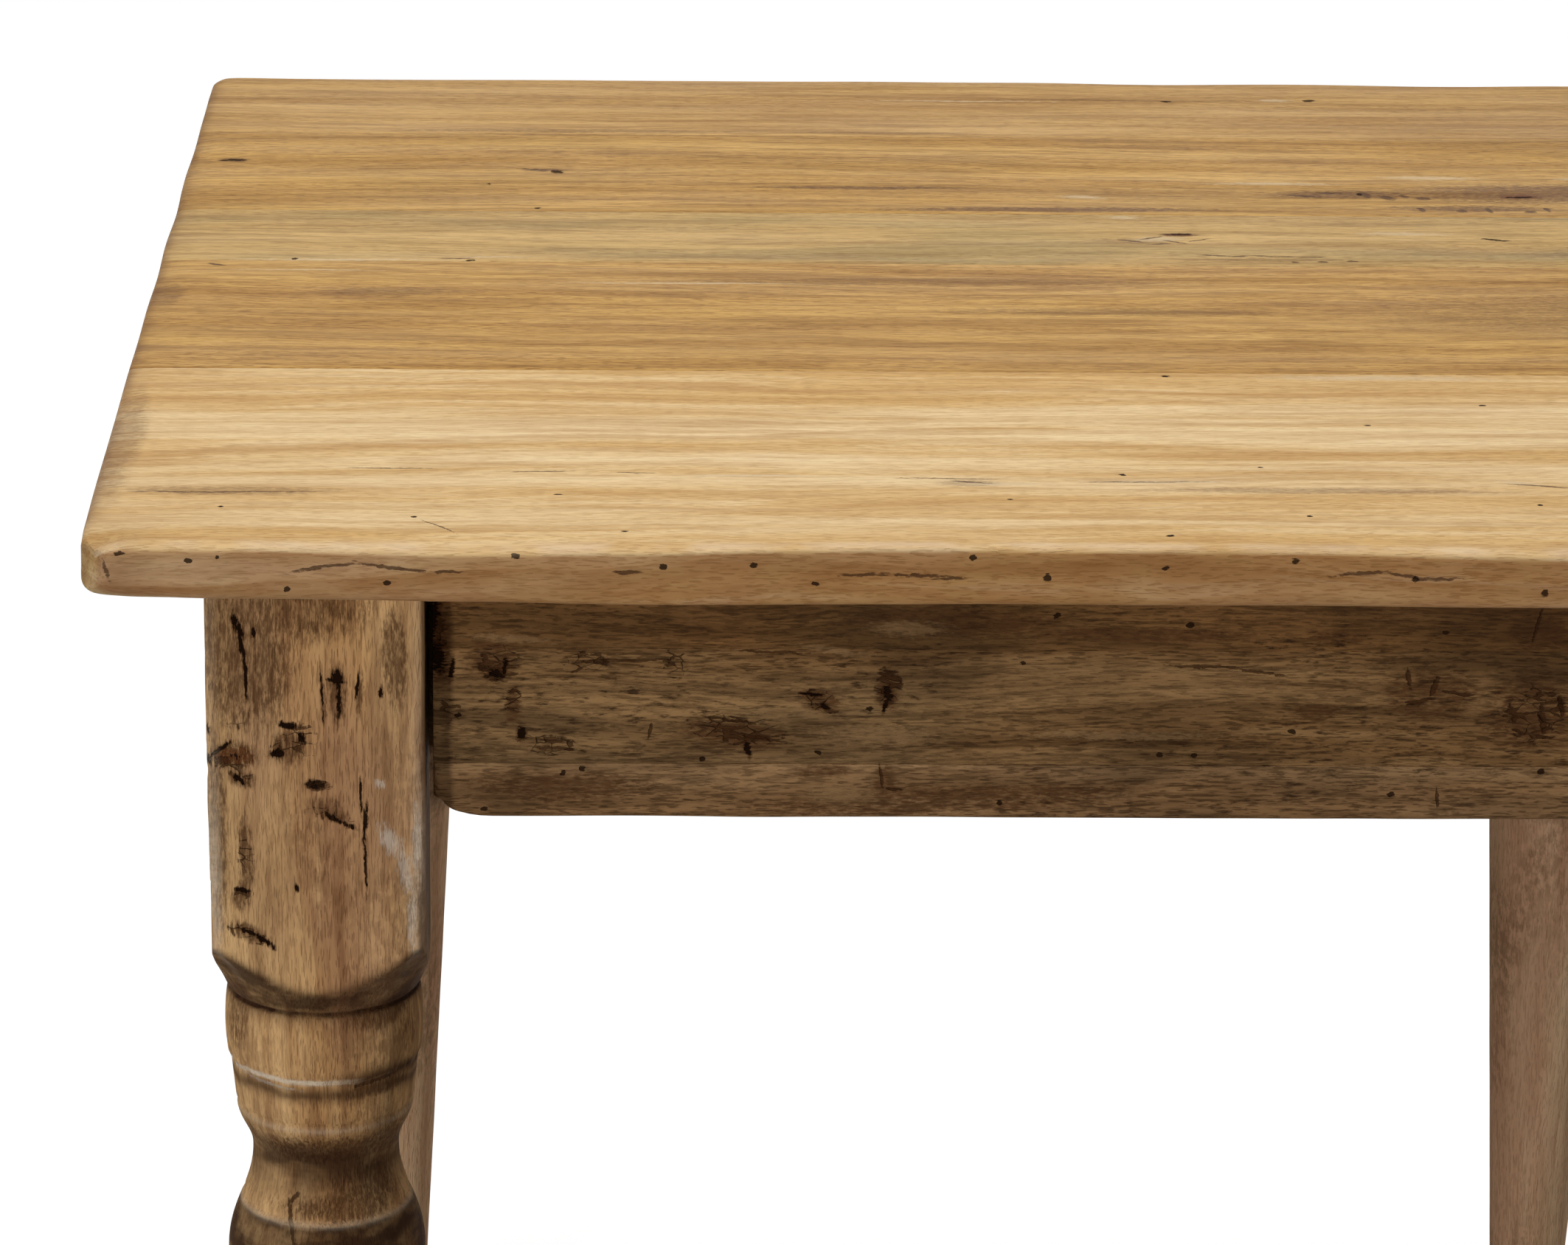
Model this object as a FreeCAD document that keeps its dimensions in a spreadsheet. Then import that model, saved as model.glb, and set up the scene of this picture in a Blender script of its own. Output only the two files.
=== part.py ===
import FreeCAD, Part
import os
import Sketcher

# Square dining table of solid reclaimed wood.
# Five planks make the top, four turned legs carry it, and each apron is glued up from three staves.
# A diagonal block behind every corner ties two aprons together and takes the two bolts of the leg.
# Frame: Z up, origin on the floor under the middle of the top, front towards -Y. Lengths in mm.

SIZES = {
    # whole table
    "top_width": 914,
    "top_depth": 914,
    "table_height": 762,
    # planks of the top, front to rear; the five are fitted to the depth in these proportions
    "top_thickness": 29,
    "front_plank_width": 285,
    "mid_front_plank_width": 206,
    "centre_plank_width": 106,
    "mid_rear_plank_width": 177,
    "rear_plank_width": 140,
    "top_corner_round": 12,
    "top_upper_round": 8,
    "top_lower_round": 4,
    # loose tongues glued into the plank joints
    "tongue_thickness": 6,
    "tongue_width": 24,
    "tongue_end_inset": 60,
    "tongue_fit": 0.1,
    # leg blank: a square block above, turned below
    "leg_overhang": 53.5,
    "leg_block": 101,
    "leg_arris_round": 3,
    "leg_chamfer": 24,
    # turned profile, downwards from the underside of the top: lengths and radii
    "block_length": 188,
    "pommel_length": 34,
    "crease_radius": 46,
    "ring_length": 33,
    "ring_foot_radius": 46.4,
    "fillet_length": 4,
    "fillet_radius": 44.8,
    "collar_length": 21,
    "collar_radius": 42.8,
    "cove_length": 26,
    "neck_radius": 35.1,
    "bulb_rise": 54,
    "bulb_radius": 47.6,
    "bulb_fall": 40,
    "shaft_radius": 38.2,
    "foot_radius": 21,
    "foot_arris": 2,
    # aprons, each of an upper, a middle and a lower stave
    "apron_height": 127,
    "apron_thickness": 22,
    "apron_setback": 15,
    "apron_end_gap": 3.5,
    "upper_stave_height": 43,
    "lower_stave_height": 27.5,
    "apron_corner_round": 10,
    "apron_arris_round": 3,
    # diagonal corner blocks
    "corner_block_thickness": 28,
    "corner_block_height": 95,
    "corner_block_drop": 18,
    # hanger bolts, with a washer and a nut on each
    "bolt_diameter": 8,
    "bolt_leg_depth": 45,
    "bolt_tip": 6,
    "bolt_tail": 8,
    "bolt_hole_fit": 0.5,
    "bolt_rise": 22,
    "bolt_spacing": 51,
    "washer_diameter": 24,
    "washer_thickness": 2,
    "nut_across_flats": 13,
    "nut_height": 6.5,
    # round-head wood screws
    "screw_diameter": 4.5,
    "screw_tip": 5,
    "screw_head_diameter": 9,
    "screw_head_height": 3,
    "counterbore_fit": 0.5,
    "block_screw_seat": 14,
    "block_screw_bite": 14,
    "block_screw_inset": 19,
    "block_screw_rise": 30,
    "block_screw_spacing": 50,
    "button_screw_bite": 16,
    # wooden buttons that hold the top down to the aprons
    "button_length": 40,
    "button_width": 25,
    "button_thickness": 20,
    "button_tongue_length": 8,
    "button_tongue_thickness": 8,
    "button_fit": 0.5,
    "button_offset": 110,
    # cuts run this far past the face they leave
    "overrun": 20,
}

# Bows of the turned curves, as shares of the chord that they span
POMMEL_BOW_SHARE = -0.075
RING_BOW_SHARE = 0.035
HEAD_BOW_SHARE = 0.15
# Reach of an S-curve's handles, as a share of its height
EASE_SHARE = 0.42
# Edges are told apart within this share of the top's thickness
NEAR_SHARE = 0.001
# A cut that takes off less than this share of its piece has missed it
LEAST_CUT_SHARE = 0.001

doc = FreeCAD.newDocument("dining_table")
sheet = doc.addObject("Spreadsheet::Sheet", "sizes")
for row, (alias, size) in enumerate(SIZES.items(), 1):
    sheet.set(f"A{row}", alias)
    sheet.set(f"B{row}", str(size))
    sheet.setAlias(f"B{row}", alias)
doc.recompute()

# Places that several pieces share, as formulas on the sheet
UNDERSIDE = "(sizes.table_height - sizes.top_thickness)"
LEG_X = "(sizes.top_width / 2 - sizes.leg_overhang - sizes.leg_block / 2)"
LEG_Y = "(sizes.top_depth / 2 - sizes.leg_overhang - sizes.leg_block / 2)"
APRON_X = f"({LEG_X} + sizes.leg_block / 2 - sizes.apron_setback - sizes.apron_thickness)"
APRON_Y = f"({LEG_Y} + sizes.leg_block / 2 - sizes.apron_setback - sizes.apron_thickness)"
APRON_BOTTOM = f"({UNDERSIDE} - sizes.apron_height)"
BLOCK_BOTTOM = f"({UNDERSIDE} - sizes.corner_block_drop - sizes.corner_block_height)"
# distance from the leg's axis, along the diagonal, to its chamfer and to the block's inner face
CHAMFER_REACH = "((sizes.leg_block - sizes.leg_chamfer) / sqrt(2))"
BLOCK_REACH = f"({CHAMFER_REACH} + sizes.corner_block_thickness)"
# from the leg's axis, square to the aprons: their inner face and the near and far ends of the block
INNER_FACE = "(sizes.apron_setback + sizes.apron_thickness - sizes.leg_block / 2)"
BLOCK_NEAR_END = f"(sqrt(2) * {CHAMFER_REACH} - {INNER_FACE})"
BLOCK_FAR_END = f"(sqrt(2) * {BLOCK_REACH} - {INNER_FACE})"

# name, side of the table along X, side along Y, turn of the corner about Z in degrees
CORNERS = (
    ("front_left", -1, -1, 0),
    ("front_right", 1, -1, 90),
    ("rear_right", 1, 1, 180),
    ("rear_left", -1, 1, 270),
)
# name, outward direction along X and Y, turn about Z in degrees
SIDES = (
    ("front", 0, -1, 0),
    ("right", 1, 0, 90),
    ("rear", 0, 1, 180),
    ("left", -1, 0, 270),
)

UP = FreeCAD.Vector(0, 0, 1)
sub_parts = []


def number(formula):
    """Value of a formula on the sheet."""
    return float(sheet.evalExpression(formula))


def bind(thing, formulas):
    """Tie each property of a thing to a formula on the sheet."""
    for field, formula in formulas.items():
        thing.setExpression(field, formula)


def place(thing, x, y, z, turn=None):
    """Put a thing at a bound place, turned by a rotation."""
    if turn is not None:
        thing.Placement = FreeCAD.Placement(FreeCAD.Vector(), turn)
    bind(thing, {".Placement.Base.x": x, ".Placement.Base.y": y, ".Placement.Base.z": z})
    return thing


def about_z(degrees):
    return FreeCAD.Rotation(UP, degrees)


def keep(thing, label):
    """Name a finished sub-part; the label is also its file name."""
    thing.Label = label
    sub_parts.append(thing)
    return thing


def origin_plane(body, role):
    return next(plane for plane in body.Origin.OriginFeatures if plane.Role == role)


def sketch_on(body, role, name):
    """Empty sketch on one of the body's own origin planes."""
    sketch = body.newObject("Sketcher::SketchObject", name)
    sketch.AttachmentSupport = [(origin_plane(body, role), "")]
    sketch.MapMode = "FlatFace"
    return sketch


def curve_between(start, end, form):
    """Line, S-curve with upright ends, or arc bowed by a share of its chord to the right of its run."""
    if form == "line":
        return Part.LineSegment(start, end)
    if form == "ease":
        handle = FreeCAD.Vector(0, EASE_SHARE * (end.y - start.y), 0)
        bezier = Part.BezierCurve()
        bezier.setPoles([start, start + handle, end - handle, end])
        return bezier.toBSpline()
    chord = end - start
    side = FreeCAD.Vector(chord.y, -chord.x, 0)
    middle = (start + end) * 0.5 + side * form
    return Part.Arc(start, middle, end)


def draw_outline(sketch, stations):
    """Closed outline through stations (x, y, form of the run that arrives there), each point bound."""
    points = [FreeCAD.Vector(number(x), number(y), 0) for x, y, form in stations]
    count = len(stations)
    ends = []
    for index in range(count):
        start = points[index]
        end = points[(index + 1) % count]
        form = stations[(index + 1) % count][2]
        curve = curve_between(start, end, form)
        sketch.addGeometry(curve, False)
        # an arc always runs anticlockwise, so its two ends may be swapped
        first = sketch.getPoint(index, 1)
        swapped = (first - start).Length > (first - end).Length
        ends.append((2, 1) if swapped else (1, 2))
    for index in range(count):
        after = (index + 1) % count
        sketch.addConstraint(
            Sketcher.Constraint("Coincident", index, ends[index][1], after, ends[after][0])
        )
    for index, (x, y, form) in enumerate(stations):
        for kind, formula in (("DistanceX", x), ("DistanceY", y)):
            value = number(formula)
            which = sketch.addConstraint(
                Sketcher.Constraint(kind, -1, 1, index, ends[index][0], value)
            )
            sketch.setExpression(f"Constraints[{which}]", formula)


def draw_rectangle(sketch, left, low, right, high):
    draw_outline(
        sketch,
        [(left, low, "line"), (right, low, "line"), (right, high, "line"), (left, high, "line")],
    )


def draw_circle(sketch, x, y, radius):
    """Circle with its centre and radius bound."""
    centre = FreeCAD.Vector(number(x), number(y), 0)
    which = sketch.addGeometry(Part.Circle(centre, UP, number(radius)), False)
    for kind, formula in (("DistanceX", x), ("DistanceY", y)):
        constraint = sketch.addConstraint(
            Sketcher.Constraint(kind, -1, 1, which, 3, number(formula))
        )
        sketch.setExpression(f"Constraints[{constraint}]", formula)
    constraint = sketch.addConstraint(Sketcher.Constraint("Radius", which, number(radius)))
    sketch.setExpression(f"Constraints[{constraint}]", radius)


def pad(body, sketch, height):
    feature = body.newObject("PartDesign::Pad", f"{body.Name}_pad")
    feature.Profile = sketch
    feature.setExpression("Length", height)
    doc.recompute()
    return feature


def revolved(name, stations):
    """Body turned about its Z axis from a half outline of (radius, height, form) stations."""
    body = doc.addObject("PartDesign::Body", name)
    sketch = sketch_on(body, "XZ_Plane", f"{name}_outline")
    draw_outline(sketch, stations)
    turned = body.newObject("PartDesign::Revolution", f"{name}_turned")
    turned.Profile = sketch
    turned.ReferenceAxis = (sketch, ["V_Axis"])
    turned.Angle = 360
    doc.recompute()
    return body


def edges_where(feature, test):
    """Names of the edges whose middle passes a test."""
    return [
        f"Edge{index}"
        for index, edge in enumerate(feature.Shape.Edges, 1)
        if test(edge.CenterOfMass)
    ]


def rounded(body, feature, edges, radius, kind="Fillet", field="Radius"):
    """Fillet or chamfer on named edges, with its size bound."""
    easing = body.newObject(f"PartDesign::{kind}", f"{body.Name}_{kind.lower()}")
    easing.Base = (feature, edges)
    easing.setExpression(field, radius)
    doc.recompute()
    return easing


def box(name, size, corner):
    """Box with bound sides, its low corner at a bound place."""
    piece = doc.addObject("Part::Box", name)
    bind(piece, dict(zip(("Length", "Width", "Height"), size)))
    return place(piece, *corner)


def cylinder(name, radius, height):
    piece = doc.addObject("Part::Cylinder", name)
    bind(piece, {"Radius": radius, "Height": height})
    return piece


def group(name, pieces):
    gathered = doc.addObject("Part::Compound", name)
    gathered.Links = pieces
    return gathered


def without(name, base, tool):
    """Base with the tool's material taken out."""
    result = doc.addObject("Part::Cut", name)
    result.Base = base
    result.Tool = tool
    result.Refine = False
    return result


def copy_of(master, name, x, y, z, turn):
    """Copy of a master piece at a bound place."""
    copy = doc.addObject("App::Link", name)
    copy.LinkedObject = master
    copy.LinkTransform = False
    return place(copy, x, y, z, turn)


def near(value, target):
    """Whether two places are the same."""
    return abs(value - target) < number("sizes.top_thickness") * NEAR_SHARE


def must_cut(before, after):
    """Stop where a cut pointed away from its piece."""
    if after.Shape.Volume > (1 - LEAST_CUT_SHARE) * before.Shape.Volume:
        raise RuntimeError(f"{after.Name} took nothing off")


# Hanger bolts: coarse thread in the leg, plain end through the corner block.
# The bolt lies along the diagonal of its corner and ends a little past the nut.
BOLT_LENGTH = (
    "(sizes.bolt_leg_depth + sizes.corner_block_thickness + sizes.washer_thickness"
    " + sizes.nut_height + sizes.bolt_tail)"
)
bolt = revolved(
    "hanger_bolt",
    [
        ("0", "0", "line"),
        ("sizes.bolt_diameter / 2", "sizes.bolt_tip", "line"),
        ("sizes.bolt_diameter / 2", BOLT_LENGTH, "line"),
        ("0", BOLT_LENGTH, "line"),
    ],
)
washer = without(
    "bolt_washer",
    cylinder("washer_disc", "sizes.washer_diameter / 2", "sizes.washer_thickness"),
    cylinder("washer_hole", "sizes.bolt_diameter / 2 + sizes.bolt_hole_fit", "sizes.washer_thickness"),
)
nut_hexagon = doc.addObject("Part::Prism", "nut_hexagon")
nut_hexagon.Polygon = 6
bind(nut_hexagon, {"Circumradius": "sizes.nut_across_flats / sqrt(3)", "Height": "sizes.nut_height"})
nut = without(
    "bolt_nut",
    nut_hexagon,
    cylinder("nut_thread", "sizes.bolt_diameter / 2", "sizes.nut_height"),
)
bolt_room = cylinder(
    "bolt_room",
    "sizes.bolt_diameter / 2 + sizes.bolt_hole_fit",
    "sizes.corner_block_thickness + 2 * sizes.overrun",
)


def along_diagonal(master, reach, purpose, corner, side_x, side_y, turn):
    """Two copies of a piece in a corner, one above the other, the Z axis towards the middle."""
    inward = about_z(turn + 45).multiply(FreeCAD.Rotation(FreeCAD.Vector(0, 1, 0), 90))
    return [
        copy_of(
            master,
            f"{purpose}_{corner}_{level}",
            f"{side_x} * ({LEG_X} - {reach} / sqrt(2))",
            f"{side_y} * ({LEG_Y} - {reach} / sqrt(2))",
            f"{BLOCK_BOTTOM} + sizes.bolt_rise + {level} * sizes.bolt_spacing",
            inward,
        )
        for level in range(2)
    ]


def in_corners(make_copies, *details):
    """Copies in each corner, as a list for each corner's name."""
    return {corner[0]: make_copies(*details, *corner) for corner in CORNERS}


def together(name, copies):
    """One group of the copies of all corners."""
    return group(name, [copy for corner in copies.values() for copy in corner])


bolt_start = f"({CHAMFER_REACH} - sizes.bolt_leg_depth)"
nut_start = f"({BLOCK_REACH} + sizes.washer_thickness)"
room_start = f"({CHAMFER_REACH} - sizes.overrun)"
bolts = together("bolts", in_corners(along_diagonal, bolt, bolt_start, "bolt"))
washers = together("washers", in_corners(along_diagonal, washer, BLOCK_REACH, "washer"))
nuts = together("nuts", in_corners(along_diagonal, nut, nut_start, "nut"))
bolt_rooms = in_corners(along_diagonal, bolt_room, room_start, "bolt_room")


# Round-head screws: the head sits at height 0 and the shank runs up to its point
def screw(name, length):
    return revolved(
        name,
        [
            ("0", "-sizes.screw_head_height", "line"),
            ("sizes.screw_head_diameter / 2", "0", HEAD_BOW_SHARE),
            ("sizes.screw_diameter / 2", "0", "line"),
            ("sizes.screw_diameter / 2", f"{length} - sizes.screw_tip", "line"),
            ("0", length, "line"),
        ],
    )


block_screw = screw("block_screw", "(sizes.block_screw_seat + sizes.block_screw_bite)")
button_screw = screw("button_screw", "(sizes.button_thickness + sizes.button_screw_bite)")
# room for the head in the slanting inner face of the block
screw_room = cylinder(
    "screw_room",
    "sizes.screw_head_diameter / 2 + sizes.counterbore_fit",
    "sizes.corner_block_thickness + sizes.overrun",
)


# Corner block screws run square into the two aprons, two above each other at either end of a block.
# They are set in from the end of the block's long face, beside the apron.
SCREW_REACH = f"({BLOCK_FAR_END} - sizes.block_screw_inset)"


def into_aprons(master, purpose, way, corner, side_x, side_y, turn):
    """Copies of a piece at the block screws of a corner, its Z axis into (1) or out of (-1) the apron."""
    seat = "sizes.block_screw_seat"
    copies = []
    for level in range(2):
        height = f"{BLOCK_BOTTOM} + sizes.block_screw_rise + {level} * sizes.block_screw_spacing"
        copies.append(
            copy_of(
                master,
                f"{purpose}_{corner}_y{level}",
                f"{side_x} * ({LEG_X} - {SCREW_REACH})",
                f"{side_y} * ({APRON_Y} - {seat})",
                height,
                FreeCAD.Rotation(FreeCAD.Vector(1, 0, 0), -90 * side_y * way),
            )
        )
        copies.append(
            copy_of(
                master,
                f"{purpose}_{corner}_x{level}",
                f"{side_x} * ({APRON_X} - {seat})",
                f"{side_y} * ({LEG_Y} - {SCREW_REACH})",
                height,
                FreeCAD.Rotation(FreeCAD.Vector(0, 1, 0), 90 * side_x * way),
            )
        )
    return copies


block_screw_copies = in_corners(into_aprons, block_screw, "block_screw", 1)
block_screws = together("block_screws", block_screw_copies)
screw_rooms = in_corners(into_aprons, screw_room, "screw_room", -1)

# Wooden buttons: a short block under the top, with a tongue in the apron's groove.
# Drawn from the side: the apron's inner face is at x = 0 and the underside of the top at y = 0.
button = doc.addObject("PartDesign::Body", "button")
button_side = sketch_on(button, "XZ_Plane", "button_side")
draw_outline(
    button_side,
    [
        ("-sizes.button_tongue_length", "-sizes.button_thickness", "line"),
        ("sizes.button_length", "-sizes.button_thickness", "line"),
        ("sizes.button_length", "0", "line"),
        ("sizes.button_fit", "0", "line"),
        ("sizes.button_fit", "sizes.button_tongue_thickness - sizes.button_thickness", "line"),
        ("-sizes.button_tongue_length", "sizes.button_tongue_thickness - sizes.button_thickness", "line"),
    ],
)
button_pad = button.newObject("PartDesign::Pad", "button_pad")
button_pad.Profile = button_side
button_pad.setExpression("Length", "sizes.button_width")
button_pad.Midplane = True
button_hole_outline = sketch_on(button, "XY_Plane", "button_hole_outline")
draw_circle(button_hole_outline, "sizes.button_length / 2", "0", "sizes.screw_diameter / 2")
button_hole = button.newObject("PartDesign::Pocket", "button_hole")
button_hole.Profile = button_hole_outline
button_hole.setExpression("Length", "sizes.button_thickness")
doc.recompute()


def at_buttons(master, purpose, inset, height):
    """Copies of a piece at every button: two on each side of the table, its X axis inwards."""
    copies = []
    for side, out_x, out_y, turn in SIDES:
        for which, step in enumerate((-1, 1)):
            copies.append(
                copy_of(
                    master,
                    f"{purpose}_{side}_{which}",
                    f"{out_x} * ({APRON_X} - {inset}) + {abs(out_y) * step} * sizes.button_offset",
                    f"{out_y} * ({APRON_Y} - {inset}) + {abs(out_x) * step} * sizes.button_offset",
                    height,
                    about_z(turn + 90),
                )
            )
    return copies


buttons = group("buttons", at_buttons(button, "button", "0", UNDERSIDE))
button_screws = group(
    "button_screws",
    at_buttons(
        button_screw,
        "button_screw",
        "sizes.button_length / 2",
        f"{UNDERSIDE} - sizes.button_thickness",
    ),
)

# Planks of the top, front to rear, edge to edge with a loose tongue in each joint.
# The four outer corners and all the outer arrises are worn round; the joints stay square.
PLANK_PLACES = ("front", "mid_front", "centre", "mid_rear", "rear")
ALL_PLANKS = " + ".join(f"sizes.{place_name}_plank_width" for place_name in PLANK_PLACES)
PLANK_WIDTHS = {
    f"top_plank_{place_name}": f"sizes.{place_name}_plank_width * sizes.top_depth / ({ALL_PLANKS})"
    for place_name in PLANK_PLACES
}

tongue_pieces = []
tongue_rooms = []
plank_starts = {}
start = "-sizes.top_depth / 2"
for order, (plank, width) in enumerate(PLANK_WIDTHS.items()):
    plank_starts[plank] = start
    if order:
        middle = f"{UNDERSIDE} + sizes.top_thickness / 2"
        for pieces, purpose, fit in (
            (tongue_pieces, "tongue", "0"),
            (tongue_rooms, "tongue_room", "sizes.tongue_fit"),
        ):
            pieces.append(
                box(
                    f"{purpose}_{order}",
                    (
                        f"sizes.top_width - 2 * sizes.tongue_end_inset + 2 * {fit}",
                        f"sizes.tongue_width + 2 * {fit}",
                        f"sizes.tongue_thickness + 2 * {fit}",
                    ),
                    (
                        f"-sizes.top_width / 2 + sizes.tongue_end_inset - {fit}",
                        f"{start} - sizes.tongue_width / 2 - {fit}",
                        f"{middle} - sizes.tongue_thickness / 2 - {fit}",
                    ),
                )
            )
    start = f"{start} + {width}"

keep(group("tongues", tongue_pieces), "plank_tongues")
plank_cuts = group("plank_cuts", tongue_rooms + [button_screws])


def make_plank(label, width, first, last):
    """One plank, drawn from its left front corner, with the worn edges of the top's outside."""
    body = doc.addObject("PartDesign::Body", f"{label}_blank")
    sketch = sketch_on(body, "XY_Plane", f"{label}_outline")
    draw_rectangle(sketch, "0", "0", "sizes.top_width", width)
    feature = pad(body, sketch, "sizes.top_thickness")
    reach = number(width)
    thickness = number("sizes.top_thickness")

    def on_outside(y):
        return (first and near(y, 0)) or (last and near(y, reach))

    upright = edges_where(
        feature,
        lambda middle: near(middle.z, thickness / 2) and on_outside(middle.y),
    )
    if upright:
        feature = rounded(body, feature, upright, "sizes.top_corner_round")
    for level, radius in ((thickness, "sizes.top_upper_round"), (0, "sizes.top_lower_round")):
        rim = edges_where(
            feature,
            lambda middle: near(middle.z, level)
            and not (not first and near(middle.y, 0))
            and not (not last and near(middle.y, reach)),
        )
        feature = rounded(body, feature, rim, radius)
    place(body, "-sizes.top_width / 2", plank_starts[label], UNDERSIDE)
    keep(without(f"{label}_cut", body, plank_cuts), label)


names = list(PLANK_WIDTHS)
for plank in names:
    make_plank(plank, PLANK_WIDTHS[plank], plank == names[0], plank == names[-1])


# Legs: a square block with a chamfered inner corner for the corner block, and below it the turning.
# From the block down: lamb's tongue pommel, ring, small fillet, collar, cove, bulb and tapered shaft.
def leg_stations():
    """Half outline of the waste that the lathe takes off, from the floor up to the block."""
    half_diagonal = "(sizes.leg_block / sqrt(2))"
    block_end = f"({UNDERSIDE} - sizes.block_length)"
    crease = f"({block_end} - sizes.pommel_length)"
    ring_foot = f"({crease} - sizes.ring_length)"
    fillet_foot = f"({ring_foot} - sizes.fillet_length)"
    collar_foot = f"({fillet_foot} - sizes.collar_length)"
    neck = f"({collar_foot} - sizes.cove_length)"
    bulb = f"({neck} - sizes.bulb_rise)"
    shaft_top = f"({bulb} - sizes.bulb_fall)"
    outside = f"({half_diagonal} + sizes.overrun)"
    return [
        (outside, "0", "line"),
        ("sizes.foot_radius - sizes.foot_arris", "0", "line"),
        ("sizes.foot_radius", "sizes.foot_arris", "line"),
        ("sizes.shaft_radius", shaft_top, "line"),
        ("sizes.bulb_radius", bulb, "ease"),
        ("sizes.neck_radius", neck, "ease"),
        ("sizes.collar_radius", collar_foot, "ease"),
        ("sizes.fillet_radius", fillet_foot, "line"),
        ("sizes.ring_foot_radius", ring_foot, "line"),
        ("sizes.crease_radius", crease, RING_BOW_SHARE),
        (half_diagonal, block_end, POMMEL_BOW_SHARE),
        (outside, block_end, "line"),
    ]


def make_leg(corner, side_x, side_y, turn):
    label = f"leg_{corner}"
    body = doc.addObject("PartDesign::Body", f"{label}_blank")
    sketch = sketch_on(body, "XY_Plane", f"{label}_square")
    half = "sizes.leg_block / 2"
    draw_rectangle(sketch, f"-{half}", f"-{half}", half, half)
    feature = pad(body, sketch, UNDERSIDE)
    half_height = number(UNDERSIDE) / 2
    inner = edges_where(
        feature,
        lambda middle: near(middle.z, half_height) and middle.x > 0 and middle.y > 0,
    )
    feature = rounded(body, feature, inner, "sizes.leg_chamfer", "Chamfer", "Size")
    outer = edges_where(
        feature,
        lambda middle: near(middle.z, half_height) and near(abs(middle.x), abs(middle.y)),
    )
    feature = rounded(body, feature, outer, "sizes.leg_arris_round")
    waste = sketch_on(body, "XZ_Plane", f"{label}_waste")
    draw_outline(waste, leg_stations())
    turning = body.newObject("PartDesign::Groove", f"{label}_turning")
    turning.Profile = waste
    turning.ReferenceAxis = (waste, ["V_Axis"])
    turning.Angle = 360
    doc.recompute()
    must_cut(feature, turning)
    place(body, f"{side_x} * {LEG_X}", f"{side_y} * {LEG_Y}", "0", about_z(turn))
    keep(without(f"{label}_cut", body, bolts), label)


for corner in CORNERS:
    make_leg(*corner)


# Aprons: three staves glued edge to edge, just short of the legs at both ends.
# Drawn as the front one: length along X, inner face at y = 0, outer face towards -Y.
def make_stave(label, half_length, low, high, form):
    body = doc.addObject("PartDesign::Body", f"{label}_blank")
    sketch = sketch_on(body, "XY_Plane", f"{label}_outline")
    draw_rectangle(sketch, f"-{half_length}", "-sizes.apron_thickness", half_length, "0")
    height = f"({high} - {low})"
    feature = pad(body, sketch, height)
    if form == "groove":
        slot = sketch_on(body, "XZ_Plane", f"{label}_slot")
        slot_high = f"{height} - sizes.button_thickness + sizes.button_tongue_thickness"
        slot_low = f"{height} - sizes.button_thickness - sizes.button_fit"
        draw_rectangle(slot, f"-{half_length}", slot_low, half_length, slot_high)
        groove = body.newObject("PartDesign::Pocket", f"{label}_groove")
        groove.Profile = slot
        groove.Reversed = True
        groove.setExpression("Length", "sizes.button_tongue_length + sizes.button_fit")
        doc.recompute()
        must_cut(feature, groove)
    if form == "worn":
        reach = number(half_length)
        corners = edges_where(
            feature,
            lambda middle: near(middle.z, 0) and near(abs(middle.x), reach),
        )
        feature = rounded(body, feature, corners, "sizes.apron_corner_round")
        front = edges_where(
            feature,
            lambda middle: near(middle.z, 0) and near(middle.y, -number("sizes.apron_thickness")),
        )
        rounded(body, feature, front, "sizes.apron_arris_round")
    return body


def make_apron(side, out_x, out_y, turn):
    reach = LEG_X if out_y else LEG_Y
    half_length = f"({reach} - sizes.leg_block / 2 - sizes.apron_end_gap)"
    upper = f"({UNDERSIDE} - sizes.upper_stave_height)"
    lower = f"({APRON_BOTTOM} + sizes.lower_stave_height)"
    for name, low, high, form in (
        ("upper", upper, UNDERSIDE, "groove"),
        ("middle", lower, upper, "plain"),
        ("lower", APRON_BOTTOM, lower, "worn"),
    ):
        label = f"apron_{side}_{name}"
        body = make_stave(label, half_length, low, high, form)
        place(body, f"{out_x} * {APRON_X}", f"{out_y} * {APRON_Y}", low, about_z(turn))
        keep(without(f"{label}_cut", body, block_screws), label)


for side, out_x, out_y, turn in SIDES:
    make_apron(side, out_x, out_y, turn)


# Corner blocks: a thick trapezoid between two aprons, its short face on the chamfer of the leg.
# Drawn about the leg's axis, in the front left corner.
def make_corner_block(corner, side_x, side_y, turn):
    label = f"corner_block_{corner}"
    body = doc.addObject("PartDesign::Body", f"{label}_blank")
    sketch = sketch_on(body, "XY_Plane", f"{label}_outline")
    draw_outline(
        sketch,
        [
            (BLOCK_NEAR_END, INNER_FACE, "line"),
            (BLOCK_FAR_END, INNER_FACE, "line"),
            (INNER_FACE, BLOCK_FAR_END, "line"),
            (INNER_FACE, BLOCK_NEAR_END, "line"),
        ],
    )
    pad(body, sketch, "sizes.corner_block_height")
    place(body, f"{side_x} * {LEG_X}", f"{side_y} * {LEG_Y}", BLOCK_BOTTOM, about_z(turn))
    rooms = group(f"{label}_rooms", bolt_rooms[corner] + screw_rooms[corner])
    bored = without(f"{label}_bored", body, rooms)
    screws = group(f"{label}_screws", block_screw_copies[corner])
    keep(without(f"{label}_cut", bored, screws), label)


for corner in CORNERS:
    make_corner_block(*corner)

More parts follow.
